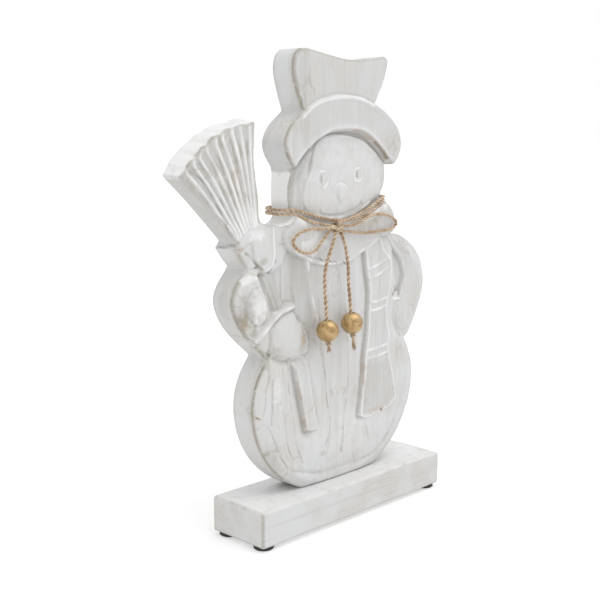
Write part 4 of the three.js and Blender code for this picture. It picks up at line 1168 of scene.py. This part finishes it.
def blurred(field, sigma):
    radius = int(3 * sigma / STEP)
    kernel = np.exp(-((np.arange(-radius, radius + 1) * STEP / sigma) ** 2) / 2)
    kernel /= kernel.sum()
    for axis in (0, 1):
        padded = np.pad(field, [(radius, radius) if a == axis else (0, 0) for a in (0, 1)], mode="edge")
        size = field.shape[axis]
        field = sum(k * np.take(padded, np.arange(i, i + size), axis) for i, k in enumerate(kernel))
    return field


def sampled(field, x, z):
    """Bilinear value of the field at points."""
    fx = np.clip((x - XS[0]) / STEP, 0, len(XS) - 1.001)
    fz = np.clip((z - ZS[0]) / STEP, 0, len(ZS) - 1.001)
    j, i = fx.astype(int), fz.astype(int)
    u, v = fx - j, fz - i
    return ((field[i, j] * (1 - u) + field[i, j + 1] * u) * (1 - v)
            + (field[i + 1, j] * (1 - u) + field[i + 1, j + 1] * u) * v)


def carve():
    c = Carving()
    for part in (broom, body, crown, neck, face, brim, scarf_tail, right_arm, left_arm, stick, mitten,
                 collar, button, ribbon):
        part(c)
    return c


def triangulated(points, loop_count):
    """Triangles inside the closed loop of the first loop_count points, and any points added to them."""
    edges = [(i, (i + 1) % loop_count) for i in range(loop_count)]
    got = delaunay_2d_cdt([Vector(p) for p in points], edges, [], 0, 1e-5, True)
    vertices, faces, sources = got[0], got[2], got[3]
    names, added = [], []
    for v, source in zip(vertices, sources):
        if source:
            names.append(source[0])
        else:
            names.append(len(points) + len(added))
            added.append(tuple(v))
    triangles = np.array([[names[i] for i in f] for f in faces])
    every = np.vstack([points, *[np.array([p]) for p in added]])
    doubtful = np.where(np.all((triangles < loop_count) | (triangles >= len(points)), axis=1))[0]
    middle = every[triangles[doubtful]].mean(axis=1)
    inside = np.zeros(len(doubtful), bool)
    for (ax, az), (bx, bz) in zip(every[:loop_count], np.roll(every[:loop_count], -1, 0)):
        if az != bz:
            crossed = (az > middle[:, 1]) != (bz > middle[:, 1])
            inside ^= crossed & (middle[:, 0] < (bx - ax) * (middle[:, 1] - az) / (bz - az) + ax)
    kept = np.delete(triangles, doubtful[~inside], 0)
    return [tuple(int(i) for i in f) for f in kept], added


LOOP_STEP = 1.0  # between points of the plank's edge
LEAST_HEIGHT, MOST_HEIGHT = 2.5, 12.75
ARRIS_DROP = 0.9
FINE_DETAIL, FINE_PAINT = 0.035, 0.10  # what the fine grid is kept for
BACK_GRID = 16  # steps between the back's points
BROOM_END = -81.2  # the bristles' top edge lies to the left of this
# The rows of points down the plank's sides: share of the way to the back, inset and rubbing.
SIDE_ROWS = [(0.03, 0.0, 0.35), (0.1, 0.0, 0.1), (0.3, 0.0, 0.0), (0.55, 0.0, 0.0), (0.8, 0.0, 0.0),
             (0.93, 0.0, 0.15), (0.975, 0.25, 0.4), (1.0, 0.9, 0.4)]


def finished_carving():
    """The carving with its arris, painted shade in its hollows and rubbed crests, and how far inside each
    point lies.
    """
    c = carve()
    window, d = distance(OUTLINE, True, 3.0)
    inside = np.full(X.shape, -9.0)
    inside[window] = d
    arris = 1.1 + 0.35 * noise(9, 9, 51)
    t = np.clip(1 - inside / arris, 0, 1)
    c.height -= ARRIS_DROP * (1 - np.sqrt(np.clip(1 - t * t, 0, 1)))
    c.height = np.clip(c.height, LEAST_HEIGHT, MOST_HEIGHT)
    open_field = np.where(inside > 0, c.height, c.height - 5)
    relief = c.height - blurred(open_field, 1.4)
    wide = c.height - blurred(open_field, 4.0)
    # painted shade that darkens the carving's hollows
    painted_hollow_shade = 0.8 * smooth((-relief - 0.12) / 0.9) + 0.25 * smooth((-wide - 0.3) / 3)
    c.masks["shade_and_grime"] = np.clip(c.masks["shade_and_grime"] + painted_hollow_shade, 0, 1)
    c.masks["wear_and_shade"] = np.clip(c.masks["wear_and_shade"] + 0.35 * smooth((relief - 0.5) / 1.0), 0, 1)
    return c, inside


def kept_points(c, inside):
    """Grid points for the front: every second one, and all where the carving or the paint is fine."""
    detail = np.abs(c.height - blurred(c.height, 0.6))
    painted = sum(np.abs(m - blurred(m, 0.6)) for m in c.masks.values())
    row, column = np.indices(X.shape)
    every_second = (row % 2 == 0) & (column % 2 == 0)
    keep = (inside > 0.45) & (every_second | (detail > FINE_DETAIL) | (painted > FINE_PAINT))
    return np.stack([X[keep], Z[keep]], 1)


def outward(loop):
    """Smoothed unit normals of an anticlockwise loop."""
    along = np.roll(loop, -1, 0) - np.roll(loop, 1, 0)
    normal = np.stack([along[:, 1], -along[:, 0]], 1)
    normal /= np.linalg.norm(normal, axis=1)[:, None]
    return sum(np.roll(normal, k, 0) for k in range(-3, 4)) / 7


def bristle_rise(loop):
    """How much higher the bristles' edge is at the plank's back than at its front."""
    front, back = (np.array(sorted(line)) for line in (BROOM_TOP, BROOM_BACK))
    front_z = np.interp(loop[:, 0], front[:, 0], front[:, 1])
    on_top = (np.abs(loop[:, 1] - front_z) < 1.6) & (loop[:, 0] < BROOM_END)
    rise = np.where(on_top, np.interp(loop[:, 0], back[:, 0], back[:, 1]) - front_z, 0)
    return sum(np.roll(rise, k) for k in range(-2, 3)) / 5


def add_sides(vertices, faces, values, loop, heights):
    """Rows of points from the front edge to the back one; returns the last row."""
    x, z = loop[:, 0], loop[:, 1]
    count = len(loop)
    rise = bristle_rise(loop)
    normal = outward(loop)
    far = np.linalg.norm(np.diff(np.vstack([loop, loop[:1]]), axis=0), axis=1).cumsum()
    # painted light on the side wall beside the head; painted shade on the sides under the broom and beside
    # the arm
    head_height = smooth((z - 209) / 2) * smooth((250 - z) / 3)
    painted_light_beside_the_head = smooth((-46 - x) / 2) * smooth((x + 76) / 6) * head_height
    rubbed = 0.9 * np.array(values["wear_and_shade"][:count])
    painted_shade_under_the_broom = 0.7 * smooth((-97 - x) / 5) * smooth((z - 204) / 4) * (rise < 0.05)
    painted_shade_beside_the_arm = 0.3 * (x < -88) * smooth((187 - z) / 4) * smooth((z - 124) / 8)
    previous = list(range(count))
    for share, inset, wear_and_shade in SIDE_ROWS:
        start = len(vertices)
        for i in range(count):
            px, pz = loop[i] + (0, rise[i] * share) - normal[i] * inset
            vertices.append((px, -heights[i] + (heights[i] - BACK) * share, pz))
        crack = np.exp(-(((z - 201.8 - 1.2 * math.sin(7 * share)) / 0.8) ** 2)) * (x < -95)
        row = {"wear_and_shade": np.maximum(wear_and_shade, rubbed * (share < 0.05)),
               # painted light beside the head and on the broom's top face
               "wash_and_highlight": np.maximum(painted_light_beside_the_head, 0.6 * smooth(rise)),
               "shade_and_grime": painted_shade_under_the_broom + painted_shade_beside_the_arm,
               "dark": 0.5 * crack * (0.08 < share < 0.9),
               "round_the_edge": far * MM}
        for k in values:
            values[k].extend(row.get(k, np.zeros(count)))
        for i in range(count):
            j = (i + 1) % count
            faces.append((previous[i], previous[j], start + j, start + i))
        previous = list(range(start, start + count))
    return previous


def add_back(vertices, faces, values, edge, inside):
    """The flat back: a coarse grid inside the last row of the sides."""
    sparse = (slice(None, None, BACK_GRID), slice(None, None, BACK_GRID))
    well_inside = inside[sparse] > 3
    spots = np.stack([X[sparse][well_inside], Z[sparse][well_inside]], 1)
    loop = np.array([(vertices[i][0], vertices[i][2]) for i in edge])
    back_faces, added = triangulated(np.vstack([loop, spots]), len(edge))
    names = edge + list(range(len(vertices), len(vertices) + len(spots) + len(added)))
    vertices.extend((x, -BACK, z) for x, z in [*spots, *added])
    for k in values:
        values[k].extend([0.0] * (len(spots) + len(added)))
    faces.extend(tuple(names[i] for i in f)[::-1] for f in back_faces)


def make_figure():
    c, inside = finished_carving()
    loop = even(np.vstack([OUTLINE, OUTLINE[:1]]), LOOP_STEP)[:-1]
    points = np.vstack([loop, kept_points(c, inside)])
    faces, added = triangulated(points, len(loop))
    points = np.vstack([points, *[np.array([p]) for p in added]])
    x, z = points[:, 0], points[:, 1]
    heights = sampled(c.height, x, z)
    vertices = list(zip(x, -heights, z))
    values = {k: list(sampled(m, x, z)) for k, m in c.masks.items()}
    values["round_the_edge"] = [0.0] * len(points)
    edge = add_sides(vertices, faces, values, loop, heights)
    add_back(vertices, faces, values, edge, inside)
    made = piece("snowman_carved_plank", [at(*v) for v in vertices], faces, WHITEWASH,
                 "figure", ["snowman_figure"], values)
    fixed = bmesh.new()
    fixed.from_mesh(made.data)
    bmesh.ops.recalc_face_normals(fixed, faces=fixed.faces)
    fixed.to_mesh(made.data)
    fixed.free()


make_figure()


# ---- the base block ----
BLOCK_RADIUS = 1.7 * MM
BLOCK_ROWS = (96, 30, 18)
DENT = 0.12 * MM
SCREWS = ("mounting_screw_left", "mounting_screw_right")
BORE_RADIUS, BORE_DEPTH = 4.4 * MM, 1.7 * MM
BALL_SHADE = ((-0.043, 0.012), (0.002, 0.014))  # the painted shade beside the ball: its place and width, in x and y


def eased_block(half, middle):
    """The block's mesh: a fine grid with rounded, slightly uneven edges."""
    shape = bmesh.new()
    bmesh.ops.create_cube(shape, size=2.0)
    for axis, count in enumerate(BLOCK_ROWS):
        for i in range(1, count):
            where, direction = Vector((0, 0, 0)), Vector((0, 0, 0))
            where[axis] = -1 + 2 * i / count
            direction[axis] = 1
            everything = [*shape.verts, *shape.edges, *shape.faces]
            bmesh.ops.bisect_plane(shape, geom=everything, plane_co=where, plane_no=direction)
    waves = np.random.default_rng(61).uniform(0, 2 * math.pi, 8)
    for v in shape.verts:
        # the outer rows are crowded towards the edges so that the rounding has points
        p = Vector([c * h * (1 + 0.35 * (1 - abs(c)) * (0.2 + abs(c))) for c, h in zip(v.co, half)])
        uneven = 0.5 + 0.5 * math.sin(p.x * 90 + waves[0]) * math.sin(p.y * 160 + p.z * 210 + waves[1])
        r = BLOCK_RADIUS * (0.75 + 0.6 * uneven)
        core = Vector([max(-(h - r), min(h - r, c)) for c, h in zip(p, half)])
        out = p - core
        if out.length > 0:
            p = core + out.normalized() * min(out.length, r)
        for i in range(3):
            j, k = (i + 1) % 3, (i + 2) % 3
            dent = DENT * math.sin(p[j] * 61 + waves[2 + i]) * math.sin(p[k] * 83 + waves[5 + i])
            if abs(p[i]) > half[i] * 0.98:
                p[i] -= math.copysign(abs(dent), p[i])
        v.co = middle + p
    mesh = bpy.data.meshes.new("block")
    shape.to_mesh(mesh)
    shape.free()
    return mesh


def bored(mesh, places):
    """The mesh with a counterbore sunk into its underside at each place."""
    block = bpy.data.objects.new("block", mesh)
    bpy.context.collection.objects.link(block)
    tools = []
    for x, y in places:
        shape = bmesh.new()
        bmesh.ops.create_cone(shape, cap_ends=True, segments=48, radius1=BORE_RADIUS, radius2=BORE_RADIUS,
                              depth=2 * BORE_DEPTH, matrix=Matrix.Translation((x, y, base_low.z)))
        tool = bpy.data.objects.new("tool", bpy.data.meshes.new("tool"))
        shape.to_mesh(tool.data)
        shape.free()
        bpy.context.collection.objects.link(tool)
        tools.append(tool)
        cut = block.modifiers.new("cut", "BOOLEAN")
        cut.operation = "DIFFERENCE"
        cut.solver = "EXACT"
        cut.object = tool
    bpy.context.view_layer.update()
    made = bpy.data.meshes.new_from_object(block.evaluated_get(bpy.context.evaluated_depsgraph_get()))
    for thing in (block, *tools):
        bpy.data.objects.remove(thing)
    return made


def make_block():
    half = (base_high - base_low) / 2
    middle = (base_high + base_low) / 2
    places = []
    for screw in SCREWS:
        low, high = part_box(screw)
        places.append(((low.x + high.x) / 2, (low.y + high.y) / 2))
    mesh = bored(eased_block(half, middle), places)
    wear_and_shade, shade_and_grime, wash_and_highlight = [], [], []
    for v in mesh.vertices:
        p = v.co - middle
        on_edge = sum(abs(c) > h - BLOCK_RADIUS * 0.8 for c, h in zip(p, half)) > 1
        left_end = p.x < -half.x * 0.98
        wear_and_shade.append((0.6 if left_end else 0.22) * on_edge)
        # painted shade in the counterbores and on the top beside the ball
        beside = math.exp(-sum(((c - spot) / width) ** 2 for c, (spot, width) in zip(p, BALL_SHADE)))
        sunk = min(math.hypot(v.co.x - x, v.co.y - y) for x, y in places) < BORE_RADIUS * 1.02 and p.z < 0
        shade_and_grime.append(0.6 if sunk else 0.45 * beside * (p.z > half.z * 0.95))
        # painted light: the block's top is whitened
        wash_and_highlight.append(0.42 if p.z > half.z * 0.9 else 0.0)
    piece("base_block_eased", [v.co for v in mesh.vertices], [tuple(f.vertices) for f in mesh.polygons],
          WHITEWASH_BASE, "figure", ["base_block"],
          {"wear_and_shade": wear_and_shade, "shade_and_grime": shade_and_grime, "wash_and_highlight": wash_and_highlight}, False)


make_block()


def give(node, material):
    data = bpy.data.objects[node].data
    data.materials.clear()
    data.materials.append(material)


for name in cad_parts:
    if name.startswith("foot_"):
        give(name, RUBBER)
for name in SCREWS:
    give(name, ZINC)


# ---- the stage ----
FLOOR_REACH = 14.0
SUN_ANGLE = 50  # degrees across, so that its shadows are soft
SUN_FROM = (0.35, -0.6, 1.6)


def make_stage():
    floor_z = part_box("foot_front_left")[0].z
    mesh = bpy.data.meshes.new("floor")
    corners = [(x * FLOOR_REACH, y * FLOOR_REACH, floor_z) for x, y in ((-1, -1), (1, -1), (1, 1), (-1, 1))]
    mesh.from_pydata(corners, [], [(0, 1, 2, 3)])
    floor = bpy.data.objects.new("floor", mesh)
    bpy.context.collection.objects.link(floor)
    n = Nodes("pale_floor")
    mesh.materials.append(n.finish((0.55, 0.55, 0.55, 1), 0.9, None, Specular_IOR_Level=0.1,
                                   Emission_Color=(1, 1, 1, 1), Emission_Strength=0.42))


def make_light():
    world = bpy.data.worlds.new("studio")
    bpy.context.scene.world = world
    world.use_nodes = True
    background = world.node_tree.nodes["Background"]
    background.inputs["Color"].default_value = (1, 1, 1, 1)
    background.inputs["Strength"].default_value = 1.0
    data = bpy.data.lights.new("key", "SUN")
    data.energy = 1.0
    data.angle = math.radians(SUN_ANGLE)
    key = bpy.data.objects.new("key", data)
    key.rotation_euler = Vector(SUN_FROM).to_track_quat("Z", "Y").to_euler()
    bpy.context.collection.objects.link(key)
    bpy.context.scene.view_settings.view_transform = "Standard"


make_stage()
make_light()
